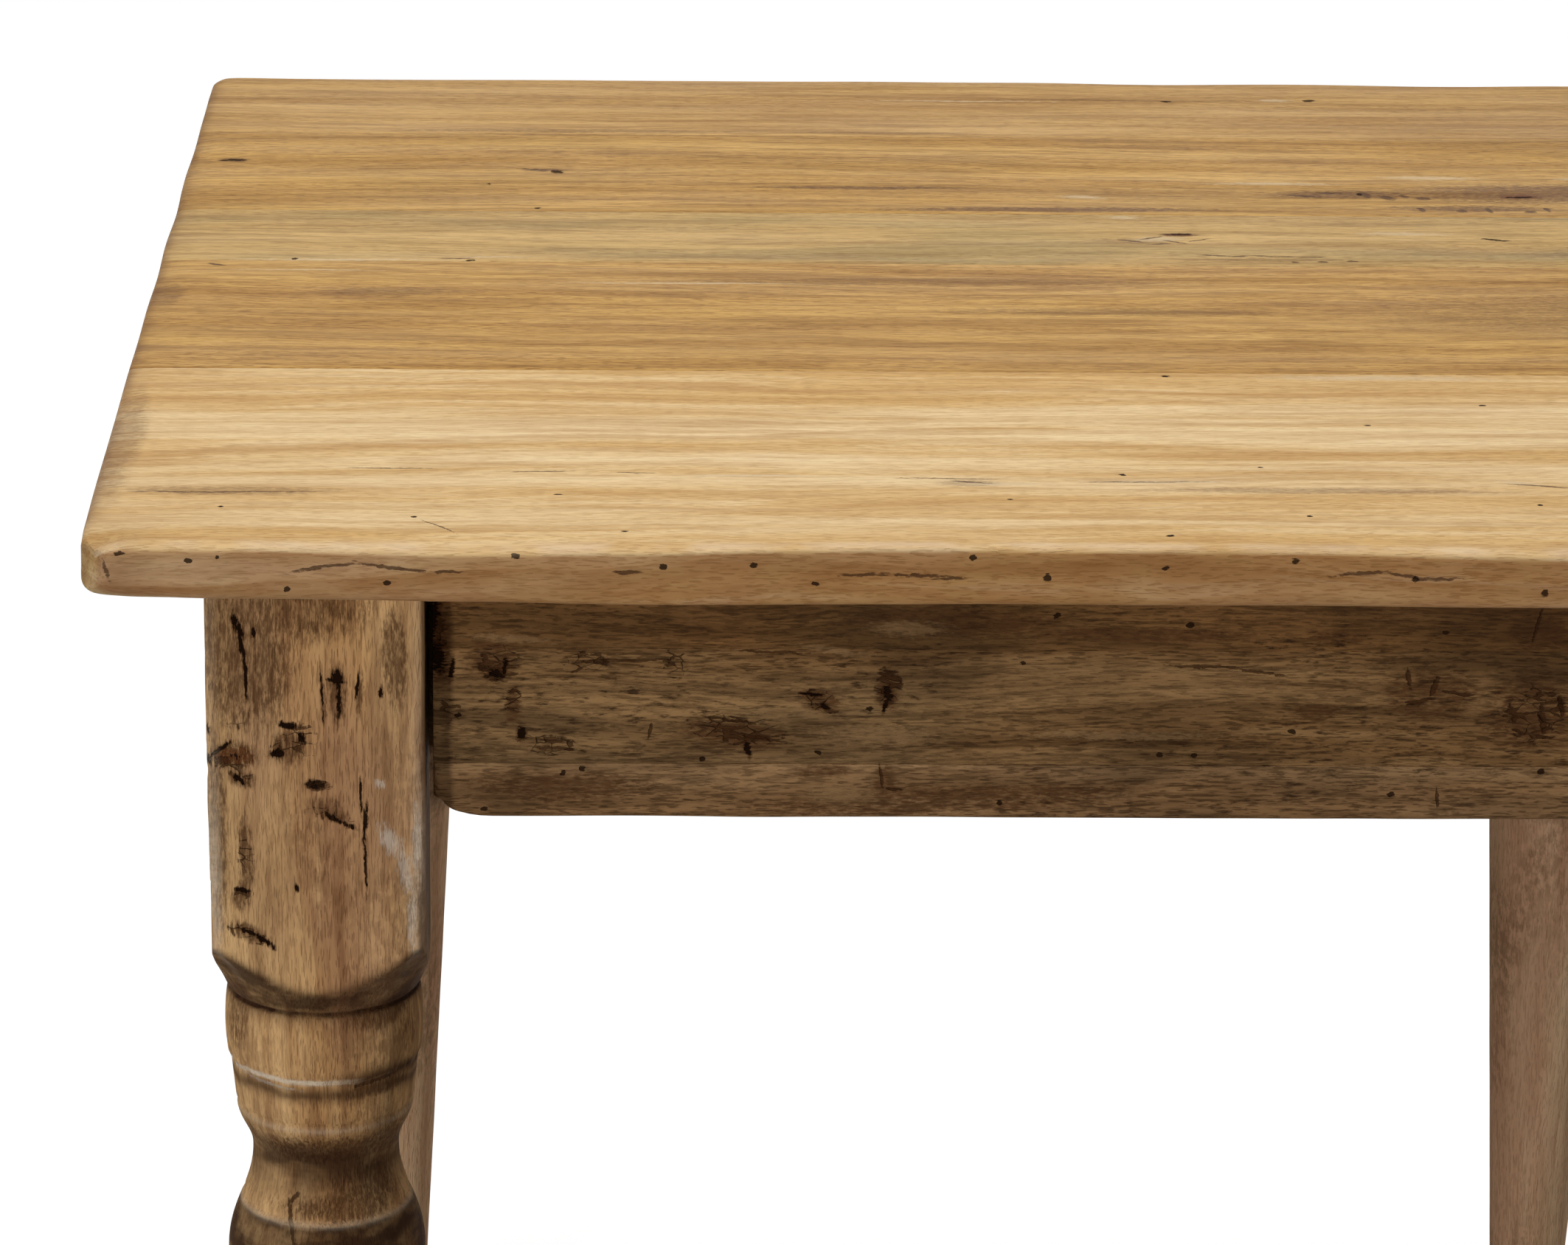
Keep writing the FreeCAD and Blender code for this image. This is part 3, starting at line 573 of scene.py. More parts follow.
def wood_material(
    name,
    grain_vector,
    grain,
    blemishes,
    rough_low,
    gloss,
    bump_mm=0.35,
    chip=CHIP_CREAM,
    stain_share=0.85,
    extra=None,
):
    """Waxed old wood: grain, then soft stains, knots, pale chips, torn patches, checks and holes, and
    the worn edges last. Torn noise sets where each blemish begins and ends."""
    material, tree, end = fresh_material(name)
    place = shader_node(tree, "ShaderNodeTexCoord").outputs["Object"]
    vector = grain_vector(tree, place)
    wood = use_group(tree, GRAIN, {"Vector": vector, **grain})
    colour, height = wood["Color"], wood["Height"]
    dull = stretched_noise(tree, vector, (5.0, 40.0, 40.0), 3.0)["Fac"]
    torn = ragged(tree, place, RAGGED_COARSE, RAGGED_FINE)
    fibres = stretched_noise(tree, vector, (200.0, 760.0, 760.0), 3.0, 0.65)["Fac"]
    frayed = maths(tree, "SUBTRACT", fibres, 0.5)
    speckle = ramp_between(tree, fibres, 0.36, 0.60, 0.55, 1.0)
    pitted = 0.0
    for kind, rows, to_space in blemishes:
        growth = BLEMISH_GROWTH.get(kind, 1.0)
        grown = [(row[0], row[1], row[2] * growth, row[3] * growth, row[4]) for row in rows]
        depth = scattered(tree, torn, grown, to_space)
        inside = ramp_between(tree, depth, 0.0, 0.25)
        tear = 1.0 if kind == "stain" else 1.5
        uneven = maths(tree, "MULTIPLY_ADD", maths(tree, "MULTIPLY", frayed, inside), tear, depth)
        if kind == "stain":
            share = maths(tree, "MULTIPLY", ramp_between(tree, uneven, 0.0, 0.6, 0.0, stain_share), speckle)
            colour = blended(tree, share, colour, STAIN_BROWN)
        elif kind == "knot":
            turns = maths(tree, "SINE", maths(tree, "MULTIPLY", uneven, 24.0))
            colour = blended(tree, ramp_between(tree, uneven, 0.02, 0.5, 0.0, 0.8), colour, KNOT_RED)
            rings = maths(tree, "MULTIPLY", ramp_between(tree, turns, 0.0, 0.9), inside)
            colour = blended(tree, maths(tree, "MULTIPLY", rings, 0.5), colour, HOLE_BROWN)
            colour = blended(tree, ramp_between(tree, uneven, 0.72, 0.90), colour, HOLE_BROWN)
        elif kind == "chip":
            share = ramp_between(tree, uneven, 0.15, 0.75, 0.0, 0.65)
            colour = blended(tree, share, colour, chip)
            height = maths(tree, "MULTIPLY_ADD", share, -0.8, height)
        elif kind == "torn":
            colour, height = torn_patch(tree, torn, uneven, colour, height)
        elif kind == "check":
            share = ramp_between(tree, uneven, 0.15, 0.55)
            colour = blended(tree, maths(tree, "MULTIPLY", share, 0.8), colour, CHECK_BROWN)
            height = maths(tree, "MULTIPLY_ADD", share, -1.4, height)
        else:
            if kind == "hole":
                scorch = ramp_between(tree, uneven, 0.05, 0.5, 0.0, 0.7)
                colour = blended(tree, scorch, colour, SCORCH_BROWN)
            begins, full, dark, sunk = PITS[kind]
            pitted = maths(tree, "MAXIMUM", pitted, ramp_between(tree, uneven, begins, full))
            colour = blended(tree, maths(tree, "MULTIPLY", pitted, dark), colour, HOLE_BROWN)
            height = maths(tree, "MULTIPLY_ADD", pitted, sunk, height)
    if extra is not None:
        colour, height = extra(tree, place, colour, height)
    rough = ramp_between(tree, dull, 0.3, 0.7, rough_low, rough_low + 0.14)
    rough = maths(tree, "MAXIMUM", rough, pitted)
    bump = {"Strength": 1.0, "Distance": bump_mm * MM, "Height": height}
    normal = shader_node(tree, "ShaderNodeBump", bump).outputs[0]
    wax = {"Base Color": colour, "Roughness": rough, "Normal": normal, "IOR": 1.46}
    skin = shader_node(tree, "ShaderNodeBsdfPrincipled", {**wax, "Specular IOR Level": gloss})
    tree.links.new(skin.outputs[0], end.inputs["Surface"])
    return material


GRAIN_COLOURS = ("Pale", "Tan", "Dark", "Tint")
GRAIN_SHARES = ("Ring Share", "Streak Share", "Fibre Share", "Dash Share", "Tint Share")


def grain_of(look, shift, pith):
    """What the grain group is fed for one board: its look, and its own shift and pith in metres."""
    grain = {"Shift": shift, "Pith": pith, "Ring": look["ring"] * MM}
    grain.update(zip(GRAIN_COLOURS, (rgba(*colour) for colour in look["colours"])))
    grain.update(zip(GRAIN_SHARES, look["shares"]))
    return grain


def along_x(tree, vector):
    """Grain along the table's width."""
    return vector


def thinned_mark(tree, attribute, noise, low, high, least):
    """A mark that the mesh carries, thinned down to the least share where the noise is low."""
    amount = shader_node(tree, "ShaderNodeAttribute", attribute_name=attribute).outputs["Fac"]
    return maths(tree, "MULTIPLY", amount, ramp_between(tree, noise, low, high, least, 1.0))


def handled_edges(tree, place, colour, height):
    """Shaded front face, ends of the boards gone brown from hands, and front arrises painted pale:
    a painted highlight over rubbed wear.
    """
    patch = stretched_noise(tree, place, (30.0, 30.0, 60.0), 3.0)["Fac"]
    for attribute, paint, least, kind in (
        ("faced", FACE_SHADE, 0.75, "MULTIPLY"),
        ("end_wear", END_BROWN, 0.70, "MIX"),
        ("rubbed_and_highlight", ARRIS_HIGHLIGHT_PALE, 0.15, "MIX"),
    ):
        share = thinned_mark(tree, attribute, patch, 0.34, 0.62, least)
        colour = blended(tree, share, colour, paint, kind)
    return colour, height


# colours pale, tan, dark and tint of each plank, its ring width and the place of its pith in mm, and
# how strongly rings, streaks, fibres, dashes and the tint show; then its blemishes on the upper side
PLANK_LOOKS = {
    "rear": {
        "colours": ((216, 174, 112), (186, 144, 84), (124, 82, 40), (174, 130, 76)),
        "ring": 11,
        "pith": (0, 640, 480),
        "shares": (0.20, 0.70, 0.46, 0.48, 0.4),
        "stain": [(-240, 324, 130, 6, 0), (-60, 324, 70, 4, 0), (90, 409, 110, 4.0, 0)],
        "pin": [(109, 408, 3.0, 2.2, 0), (193, 411, 3.2, 2.6, 0)],
        "chip": [(-10, 404, 90, 2.0, 0), (172, 411, 16, 5, 0)],
    },
    "mid_rear": {
        "colours": ((220, 176, 106), (184, 138, 72), (110, 68, 28), (168, 132, 78)),
        "ring": 9,
        "pith": (0, 300, 380),
        "shares": (0.26, 0.80, 0.50, 0.52, 0.35),
        "stain_share": 0.85,
        "stain": [
            (312, 190, 130, 30, 0), (300, 187, 90, 22, 0), (190, 187, 60, 13, 4), (255, 158, 62, 9, 0),
            (-431, 250, 12, 7, 0), (-255, 230, 18, 4, 0), (20, 150, 130, 7, 1), (-80, 196, 80, 5, 0),
        ],
        "knot": [(285, 185, 16, 7, -4)],
        "check": [
            (180, 190, 6.0, 2.2, 0), (166, 183, 10.0, 1.6, -14), (199, 187, 2.4, 7.0, 14),
            (211, 181, 3.4, 6.0, 34), (221, 184, 2.0, 4.0, 20), (231, 179, 4.0, 2.4, -20),
            (226, 155, 1.8, 5.0, 20), (249, 152, 2.6, 3.0, -8), (264, 154, 1.6, 6.0, 4),
            (287, 151, 3.4, 2.4, -4), (297, 156, 1.4, 4.4, 12), (-262, 232, 8, 1.2, -12),
        ],
        "pin": [
            (-431, 250, 7, 2.4, 4), (-249, 227, 4, 2.8, -30), (-286, 199, 1.3, 1.6, 0),
            (-259, 145, 2.0, 1.4, 0), (196, 188, 1.8, 3.4, 0), (286, 184, 7, 1.8, 4),
        ],
        "chip": [(240, 226, 44, 7, 0), (41, 178, 20, 6, -8), (150, 210, 60, 5, 0), (330, 226, 30, 6, 0)],
    },
    "centre": {
        "colours": ((220, 182, 120), (188, 150, 92), (122, 88, 44), (174, 150, 100)),
        "ring": 8,
        "pith": (0, 100, 420),
        "shares": (0.22, 0.72, 0.50, 0.48, 0.7),
        "stain": [(130, 46, 60, 4, 0), (62, 84, 30, 8, 0), (330, 60, 90, 8, 0)],
        "chip": [
            (60, 134, 15, 6, 0), (210, 102, 40, 6, 0), (-360, 36, 95, 2.8, 0.6), (-280, 42, 34, 2, 0),
            (76, 88, 24, 8, 8),
        ],
        "knot": [(88, 97, 13, 5, 2)],
        "check": [
            (72, 90, 7, 1.0, 24), (60, 84, 7, 1.0, -20), (84, 82, 7, 1.0, -30), (98, 86, 7, 0.9, 24),
            (76, 78, 6, 0.9, 10), (103, 54, 8, 1.2, -8), (116, 53, 6, 1.1, 8), (128, 54, 6, 1.0, -6),
            (139, 53, 8, 1.0, 2), (155, 52, 8, 0.9, 0), (145, 42, 2.0, 1.6, 0), (160, 42, 2.6, 1.6, 0),
            (176, 43, 3.0, 1.6, 0), (-300, 40, 9, 0.9, 0),
        ],
        "pin": [
            (88, 98, 8, 1.8, 2), (258, 91, 8, 1.5, -20), (-385, 37, 1.8, 1.5, 0), (-372, 25, 2.6, 1.3, 0),
            (-292, 36, 2.0, 1.2, 0),
        ],
    },
    "mid_front": {
        "colours": ((218, 174, 104), (186, 140, 74), (116, 72, 30), (162, 118, 66)),
        "ring": 8.5,
        "pith": (0, -160, 340),
        "shares": (0.30, 0.80, 0.55, 0.60, 0.35),
        "stain": [
            (-449, -35, 14, 30, 0), (400, -60, 290, 66, 0), (-330, -28, 50, 12, 0), (-60, -4, 190, 9, 0.5),
            (40, -60, 120, 10, 0),
        ],
        "check": [
            (-426, 23, 5, 1.6, -25), (122, 37, 3, 1.2, 0), (145, 35, 5, 0.9, 0), (164, 34, 3, 1.2, 0),
        ],
        "chip": [(-180, -8, 90, 2.6, 0), (-380, 14, 60, 2, 0)],
    },
    "front": {
        "colours": ((244, 214, 164), (216, 172, 104), (178, 130, 72), (224, 188, 134)),
        "ring": 9.5,
        "pith": (0, -420, 300),
        "shares": (0.45, 0.85, 0.45, 0.50, 0.2),
        "stain": [
            (-392, -376, 66, 9, 0), (112, -369, 110, 6, 0), (-50, -359, 20, 6, 0),
            (-449, -300, 14, 120, 0),
        ],
        "pin": [
            (-306, -415, 1.4, 1.2, 0), (-210, -435, 1.6, 1.0, 0), (-395, -400, 1.2, 1.0, 0),
            (-241, -380, 1.9, 1.0, 0), (146, -261, 1.5, 1.2, 0), (88, -332, 1.3, 0.9, 0),
            (22, -345, 1.5, 1.2, 0), (-33, -384, 1.3, 1.0, 0), (103, -408, 1.3, 1.0, 0),
            (211, -390, 1.3, 1.0, 0), (36, -438, 1.7, 1.3, 0), (56, -178, 2.2, 1.1, 0),
            (207, -227, 1.9, 1.1, 0),
        ],
        "check": [
            (-294, -429, 12, 0.5, -48), (216, -359, 16, 0.8, -12), (-50, -357, 10, 0.7, -14),
            (-395, -378, 40, 0.7, 1), (-60, -352, 22, 0.6, -2), (30, -356, 26, 0.6, 1),
            (-320, -340, 18, 0.6, -2), (-250, -344, 14, 0.6, 3), (-205, -346, 9, 0.6, -5),
        ],
        "chip": [
            (160, -180, 90, 7, 0), (206, -354, 18, 3, -12), (40, -356, 60, 4, 0), (-36, -360, 34, 3, 0),
            (-150, -350, 50, 3, 0),
        ],
    },
}
FRONT_EDGE_PINS = [
    (-435, 757, 2.4, 0.9, 0), (-405, 754, 1.7, 1.3, 0), (-392, 756, 1.0, 0.9, 0), (-362, 740, 1.3, 1.2, 0),
    (-317, 744, 1.5, 1.2, 0), (-259, 757, 1.8, 1.2, 0), (-193, 752, 1.6, 1.3, 0), (-54, 757, 1.6, 1.2, 0),
    (-21, 748, 1.7, 1.4, 0), (33, 752, 1.5, 1.2, 0), (91, 756, 1.5, 1.3, 0), (204, 741, 1.7, 1.4, 0),
    (145, 747.5, 1.7, 1.4, 0), (-125, 744, 1.5, 1.2, 0), (-153, 753, 1.4, 1.1, 0), (330, 752, 1.7, 1.3, 0),
]
FRONT_EDGE_CHECKS = [
    (-209, 749, 6.0, 0.9, 2), (-345, 751, 16, 0.8, 10), (-313, 751.5, 17, 0.8, -9),
    (-290, 749, 10, 0.6, 0), (119, 750, 14, 0.8, 4), (142, 749, 12, 0.9, -8), (158, 748, 10, 0.6, 0),
    (-104, 749, 13, 0.8, 3), (-80, 749, 14, 0.9, -4), (-64, 747, 8, 0.6, 0), (300, 747, 22, 0.8, -3),
    (-442, 750, 1.2, 7, 20), (-448, 745, 1.0, 6, -14),
]

for order, plank in enumerate(PLANKS):
    name = f"top_plank_{plank}"
    low, high = (np.array(corner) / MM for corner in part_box(name))
    middle = (low[1] + high[1]) / 2
    worn = {"left", "right"} | ({"front", "rear"} & {plank})
    at_front, at_rear = (
        (RIM_ZONE, RIM_LINES) if side in worn else (JOINT_ZONE, JOINT_LINES)
        for side in ("front", "rear")
    )
    x = cut_lines(low[0], high[0], PLANK_STEP, RIM_ZONE, RIM_ZONE, RIM_LINES)
    y_front = cut_lines(low[1], middle, PLANK_STEP, at_front[0], 0, at_front[1])
    y_rear = cut_lines(middle, high[1], PLANK_STEP, 0, at_rear[0], at_rear[1])
    z = cut_lines(low[2], high[2], THICKNESS_STEP, ARRIS_ZONE, ARRIS_ZONE, ARRIS_LINES)
    points, faces = lattice_skin(x, np.concatenate([y_front, y_rear[1:]]), z)
    on_upper = points[:, 2] == high[2]
    in_joint = np.zeros(len(points), bool)
    for side, edge_y in (("front", low[1]), ("rear", high[1])):
        if side not in worn:
            in_joint |= points[:, 1] == edge_y
    corner_gap = np.hypot(points[:, 0] - KNOCKED_CORNER[0], points[:, 1] - KNOCKED_CORNER[1])
    knocked = nearness(corner_gap, 2.2 * KNOCK_REACH)
    rim_wave = rolling(points * (1, 1, 0), 90, 40)
    upper = TOP_UPPER_ROUND + 1.6 * rim_wave + 3 * knocked**2
    lower = TOP_LOWER_ROUND + 7.5 * knocked**2 + 1.5 * rim_wave
    round_rims(points, low, high, worn, TOP_CORNER_ROUND, upper, lower)

    # the arrises have sunk unevenly, as in hand-worn boards, and the lower front one has lifted
    left_gap = points[:, 0] - low[0]
    right_gap = high[0] - points[:, 0]
    end_gap = np.minimum(left_gap, right_gap)
    front_gap = points[:, 1] - FRONT_Y
    rear_gap = REAR_Y - points[:, 1]
    height_share = (points[:, 2] - low[2]) / (high[2] - low[2])
    sunk = np.maximum.reduce(
        [
            nearness(front_gap, 26) ** 2 * eased(points[:, 0], [row[:2] for row in FRONT_WEAR]),
            nearness(end_gap, 22) ** 2 * (1.0 + ripple(points * (0, 1, 0), 130, 41)),
            nearness(rear_gap, 22) ** 2 * (0.8 + 0.6 * ripple(points * (1, 0, 0), 160, 42)),
            KNOCK_DEPTH * nearness(corner_gap, KNOCK_REACH) ** 1.5,
        ]
    )
    lift = nearness(front_gap, 22) ** 2 * eased(points[:, 0], [row[::2] for row in FRONT_WEAR])
    points[:, 2] -= height_share * sunk
    points[:, 2] += (1 - height_share) * lift
    points[:, 2] -= np.where(on_upper, SURFACE_WAVE * rolling(points, 150, 43), 0)
    points[:, 2] -= np.where(on_upper & in_joint, JOINT_GROOVE, 0)

    # the front and the ends are a little hollow in places, and two corners are cut off
    hollow = FACE_WAVE * rolling(points * (1, 1, 0.5), 120, 44)
    points[:, 1] += nearness(front_gap, ARRIS_ZONE) * hollow
    points[:, 0] += nearness(left_gap, ARRIS_ZONE) * (LEFT_END_WEAR + hollow)
    points[:, 0] -= nearness(right_gap, ARRIS_ZONE) * hollow
    for facet, corner_y, out_y in (
        (KNOCK_FACET + 2 * height_share, FRONT_Y, -1),
        (REAR_CORNER_FACET, REAR_Y, 1),
    ):
        past = (points[:, 0] - LEFT_X) * FACET_X - out_y * (points[:, 1] - corner_y) * FACET_Y
        cut = np.clip(facet - past, 0, None)
        points[:, :2] += cut[:, None] * (FACET_X, -FACET_Y * out_y)

    end_wear = 0.45 * nearness(end_gap, 17) ** 1.3 + 0.75 * nearness(end_gap, 7)
    end_wear *= np.clip(corner_gap / 40, 0.6, 1)
    end_wear = np.clip(np.maximum(end_wear, 0.42 * nearness(corner_gap, 40) ** 0.5), 0, 1)
    worn_marks = {
        "faced": np.clip(1.5 - front_gap / 4, 0, 1) * (height_share < 0.93),
        "end_wear": END_WEAR_SHARE * end_wear,
        # the front arris is painted pale along its rounding: a painted highlight with some rubbed wear
        "rubbed_and_highlight": 0.6 * bell(front_gap - 4, 4.5) * (height_share > 0.9),
    }
    look = PLANK_LOOKS[plank]
    kinds = [kind for kind in ("stain", "chip", "knot", "check", "pin") if kind in look]
    blemishes = [(kind, look[kind], on_top) for kind in kinds]
    if plank == "front":
        blemishes.append(("check", FRONT_EDGE_CHECKS, on_front_edge))
        blemishes.append(("pin", FRONT_EDGE_PINS, on_front_edge))
    material = wood_material(
        f"waxed_pine_{plank}",
        along_x,
        grain_of(look, (3.1 * order, 1.7 * order, 0.9 * order), [value * MM for value in look["pith"]]),
        blemishes,
        rough_low=0.50,
        gloss=0.12,
        stain_share=look.get("stain_share", 0.5),
        extra=handled_edges,
    )
    make_piece(f"{name}_worn", points, faces, material, "top_wood", name, **worn_marks)


# Legs: each turned from one 101 mm blank, square where the aprons meet it, then a lamb's
# tongue, a ring, a fillet, a collar, a cove and a bulb, and a straight taper to the foot.
# The inner corner is chamfered for the corner block; bolts hold the leg to the block.
LEG_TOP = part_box("leg_front_left")[1].z / MM
LEG_BLOCK = (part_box("leg_front_left")[1].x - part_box("leg_front_left")[0].x) / MM
LEG_CHAMFER = 24
LEG_ARRIS = 3
LEG_EASE_SHARE = 0.42
POMMEL_BOW_SHARE = -0.075
RING_BOW_SHARE = 0.035
BLOCK_END_Z = 545
CREASE_Z, CREASE_RADIUS = 511, 46.0
RING_FOOT_Z, RING_FOOT_RADIUS = 478, 46.4
FILLET_FOOT_Z, FILLET_RADIUS = 474, 44.8
COLLAR_FOOT_Z, COLLAR_RADIUS = 453, 42.8
NECK_Z, NECK_RADIUS = 427, 35.1
BULB_Z, BULB_RADIUS = 373, 47.6
SHAFT_Z, SHAFT_RADIUS = 333, 38.2
FOOT_RADIUS, FOOT_ARRIS = 21, 2
COLLAR_LINE_Z, BULB_LINE_Z = 451.6, 402.5
LINE_DEPTH, LINE_WIDTH = 0.8, 1.6
# the height of the middle of the leg's block, about which random marks lie, how far from it they
# reach along and up, and how many there are
BLOCK_MIDDLE_Z = 630
LEG_MARK_REACH, LEG_MARK_COUNT = (42, 75), 8
# columns of the mesh on each side of a leg and the height of its rows: on the near leg and the rest
CLOSE_MESH, FAR_MESH = (48, 1.5), (28, 2.4)
# the radius at which the waves of a leg's surface are read
WAVE_RADIUS = 50
# how far the pith lies inwards of the leg's axis, along X and along Y
LEG_PITH_X, LEG_PITH_Y = 30, 64
half_diagonal = LEG_BLOCK / math.sqrt(2)
# radius and height of each point of the turned profile from the foot up, and how the run to it goes
TURNED = (
    (FOOT_RADIUS - FOOT_ARRIS, 0, "line"),
    (FOOT_RADIUS, FOOT_ARRIS, "line"),
    (SHAFT_RADIUS, SHAFT_Z, "line"),
    (BULB_RADIUS, BULB_Z, "ease"),
    (NECK_RADIUS, NECK_Z, "ease"),
    (COLLAR_RADIUS, COLLAR_FOOT_Z, "ease"),
    (FILLET_RADIUS, FILLET_FOOT_Z, "line"),
    (RING_FOOT_RADIUS, RING_FOOT_Z, "line"),
    (CREASE_RADIUS, CREASE_Z, RING_BOW_SHARE),
    (half_diagonal, BLOCK_END_Z, POMMEL_BOW_SHARE),
    (2 * half_diagonal, BLOCK_END_Z + 1, "line"),
)


def turned_radius(z):
    """Radius that the lathe leaves at each height: straight runs, runs that ease in and out as
    cubic curves with upright ends, and arcs bowed by a share of their chord."""
    t = np.linspace(0, 1, 41)
    heights, radii = [], []
    for (r0, z0, _), (r1, z1, form) in zip(TURNED[:-1], TURNED[1:]):
        if form == "ease":
            pull, rest = 3 * LEG_EASE_SHARE, 3 * (1 - LEG_EASE_SHARE)
            run_z = z0 + (z1 - z0) * (pull * (1 - t) ** 2 * t + rest * (1 - t) * t**2 + t**3)
            run_r = r0 + (r1 - r0) * (3 * (1 - t) * t**2 + t**3)
        else:
            bow = 0 if form == "line" else form
            run_z = z0 + (z1 - z0) * t - (r1 - r0) * bow * 4 * t * (1 - t)
            run_r = r0 + (r1 - r0) * t + (z1 - z0) * bow * 4 * t * (1 - t)
        heights.append(run_z)
        radii.append(run_r)
    return np.interp(z, np.concatenate(heights), np.concatenate(radii))


def make_leg_surface(side_columns, row_step, turn_deg, seed, inner_shade):
    """Leg about its own axis: for each direction and height the nearer of the squared blank, its
    chamfered corner and the lathe's radius, softened where they meet. Returns points, faces,
    how much dirt and painted shade each point has, and how much rubbed wear and painted highlight."""
    spread = np.linspace(-1, 1, side_columns + 1)[:-1]
    spread = np.tan(spread * math.atan(1.0))
    spread = np.sign(spread) * (1 - (1 - np.abs(spread)) ** 1.35)
    quarters = [quarter * math.pi / 2 for quarter in range(4)]
    angles = np.concatenate([np.arctan(spread) + quarter for quarter in quarters])
    fine_lines = (CREASE_Z, FILLET_FOOT_Z + 2, COLLAR_LINE_Z, BULB_LINE_Z)
    rows = [
        [0, 1, 2],
        np.arange(6, 330, 6.0),
        np.arange(330, 560, row_step),
        np.arange(560, LEG_TOP, row_step * 1.6),
        [LEG_TOP - 1.5, LEG_TOP],
        *(np.arange(at - 9, at + 9, row_step / 2.5) for at in fine_lines),
    ]
    rows = np.unique(np.round(np.concatenate(rows), 2))
    theta, z = np.meshgrid(angles, rows, indexing="ij")
    half = LEG_BLOCK / 2
    soft = math.log(2) / -math.log(1 - LEG_ARRIS * (math.sqrt(2) - 1) / half_diagonal)
    planes = [(quarter, half) for quarter in quarters]
    planes.append((math.pi / 4, (LEG_BLOCK - LEG_CHAMFER) / math.sqrt(2)))
    inverse = sum(
        np.where(np.cos(theta - at) > 0.05, np.clip(np.cos(theta - at), 0.05, 1) / reach_out, 0) ** soft
        for at, reach_out in planes
    )
    turned = turned_radius(rows)[None, :] * np.ones_like(theta)
    crisp = 3 * soft
    blank = inverse ** (-1 / soft)
    radius = (blank**-crisp + turned**-crisp) ** (-1 / crisp)
    radius = np.minimum(radius, np.minimum(blank, turned))
    for line_z in (COLLAR_LINE_Z, BULB_LINE_Z):
        radius = radius - LINE_DEPTH * bell(z - line_z, LINE_WIDTH)
    around = np.stack([np.cos(theta) * WAVE_RADIUS, np.sin(theta) * WAVE_RADIUS, z], -1).reshape(-1, 3)

    def waved(wavelength, offset, scale=1):
        """Irregular height over the leg's surface."""
        return ripple(around * scale, wavelength, seed + offset).reshape(theta.shape)

    # the block's corners are bruised and chipped, most of all low down
    on_lathe = turned < blank
    on_block = np.clip((z - 520) / 30, 0, 1)
    arris = np.clip((blank - half * 1.22) / (half_diagonal - half * 1.22), 0, 1)
    bruise = 0.5 + 0.5 * waved(34, 1)
    chip = np.clip(waved(16, 2) - 0.45, 0, 1)
    foot_fade = np.clip(z / 30, 0, 1)
    radius -= foot_fade * 0.3 * (0.5 + 0.5 * waved(70, 0))
    low_down = np.clip((690 - z) / 120, 0.12, 1)
    radius -= on_block * arris * low_down * (1.4 * bruise + 2.4 * chip)
    radius -= on_block * arris * 2.4 * bell(z - BLOCK_END_Z - 4, 16)
    radius -= 1.2 * bell(z - CREASE_Z, 1.4) * on_lathe
    radius -= bell(z - RING_FOOT_Z + 1, 4) * 1.6 * np.clip(waved(9, 3, (1, 1, 0)), 0, 1)

    # painted shade and dirt darken the creases, the shoulder, below the fillet, the neck, the bulb and
    # the inner sides; the proud lines are rubbed pale, and the fillet's outer side has a painted highlight
    line_wave = 2.2 * waved(30, 4, (1, 1, 0))
    crease_z = np.where(on_lathe, CREASE_Z + 3, z + 100)
    meets = bell(np.log(turned / blank), 0.045) * (z > CREASE_Z - 4)
    inward = np.clip(np.cos(theta - math.pi / 4) / 0.2, 0, 1) * np.clip((z - CREASE_Z) / 10, 0, 1)
    outer_side = np.clip((24 - around[:, 0].reshape(theta.shape)) / 22, 0, 1)
    grime_and_shade = np.maximum.reduce(
        [
            meets * 0.9,
            bell(z - crease_z, 7),
            0.95 * on_lathe * np.clip((z - CREASE_Z) / 4, 0, 1),
            1.3 * bell(z - CREASE_Z, 2.4) * (turned < 1.1 * blank),
            0.8 * bell(z + line_wave - FILLET_FOOT_Z + 5, 4.0),
            0.95 * bell(z - NECK_Z - 3, 17),
            np.clip((BULB_LINE_Z - 1.5 - z) / 2, 0, 1) * np.clip((z - SHAFT_Z - 8) / 20, 0, 1),
            inner_shade * inward,
            (1 - outer_side) * bell(z + line_wave - FILLET_FOOT_Z - 2, 5),
        ]
    )
    # the fillet's outer side is painted pale: a painted highlight over a rubbed line
    on_fillet = np.clip(2 * bell(z + 0.5 * line_wave - RING_FOOT_Z + 2.2, 1.15), 0, 1)
    low_block = bell(z - 585, 40)
    rubbed_and_highlight = np.maximum.reduce(
        [
            on_fillet * outer_side,
            0.22 * bell(z - (COLLAR_LINE_Z - 2), 1.5),
            0.28 * bell(z - (BULB_LINE_Z - 2.4), 1.5),
            on_block * (0.12 + 0.5 * low_block) * np.clip((arris - 0.5) / 0.3, 0, 1),
        ]
    )
    turn = math.radians(turn_deg)
    points = np.stack([radius * np.cos(theta + turn), radius * np.sin(theta + turn), z], -1).reshape(-1, 3)
    columns, levels = theta.shape
    index = np.arange(columns * levels).reshape(columns, levels)
    right_of = np.roll(index, -1, axis=0)
    faces = np.stack([index[:, :-1], right_of[:, :-1], right_of[:, 1:], index[:, 1:]], -1).reshape(-1, 4)
    # the two ends are closed by strips from one side of the rim to the other
    caps = []
    for rim, upward in ((index[:, 0], False), (index[:, -1], True)):
        one = rim[: columns // 2]
        other = rim[::-1][: columns // 2]
        strip = np.stack([one[:-1], one[1:], other[1:], other[:-1]], -1)
        caps.append(strip if upward else strip[:, ::-1])
    return points, np.concatenate([faces, *caps]), grime_and_shade.ravel(), rubbed_and_highlight.ravel()


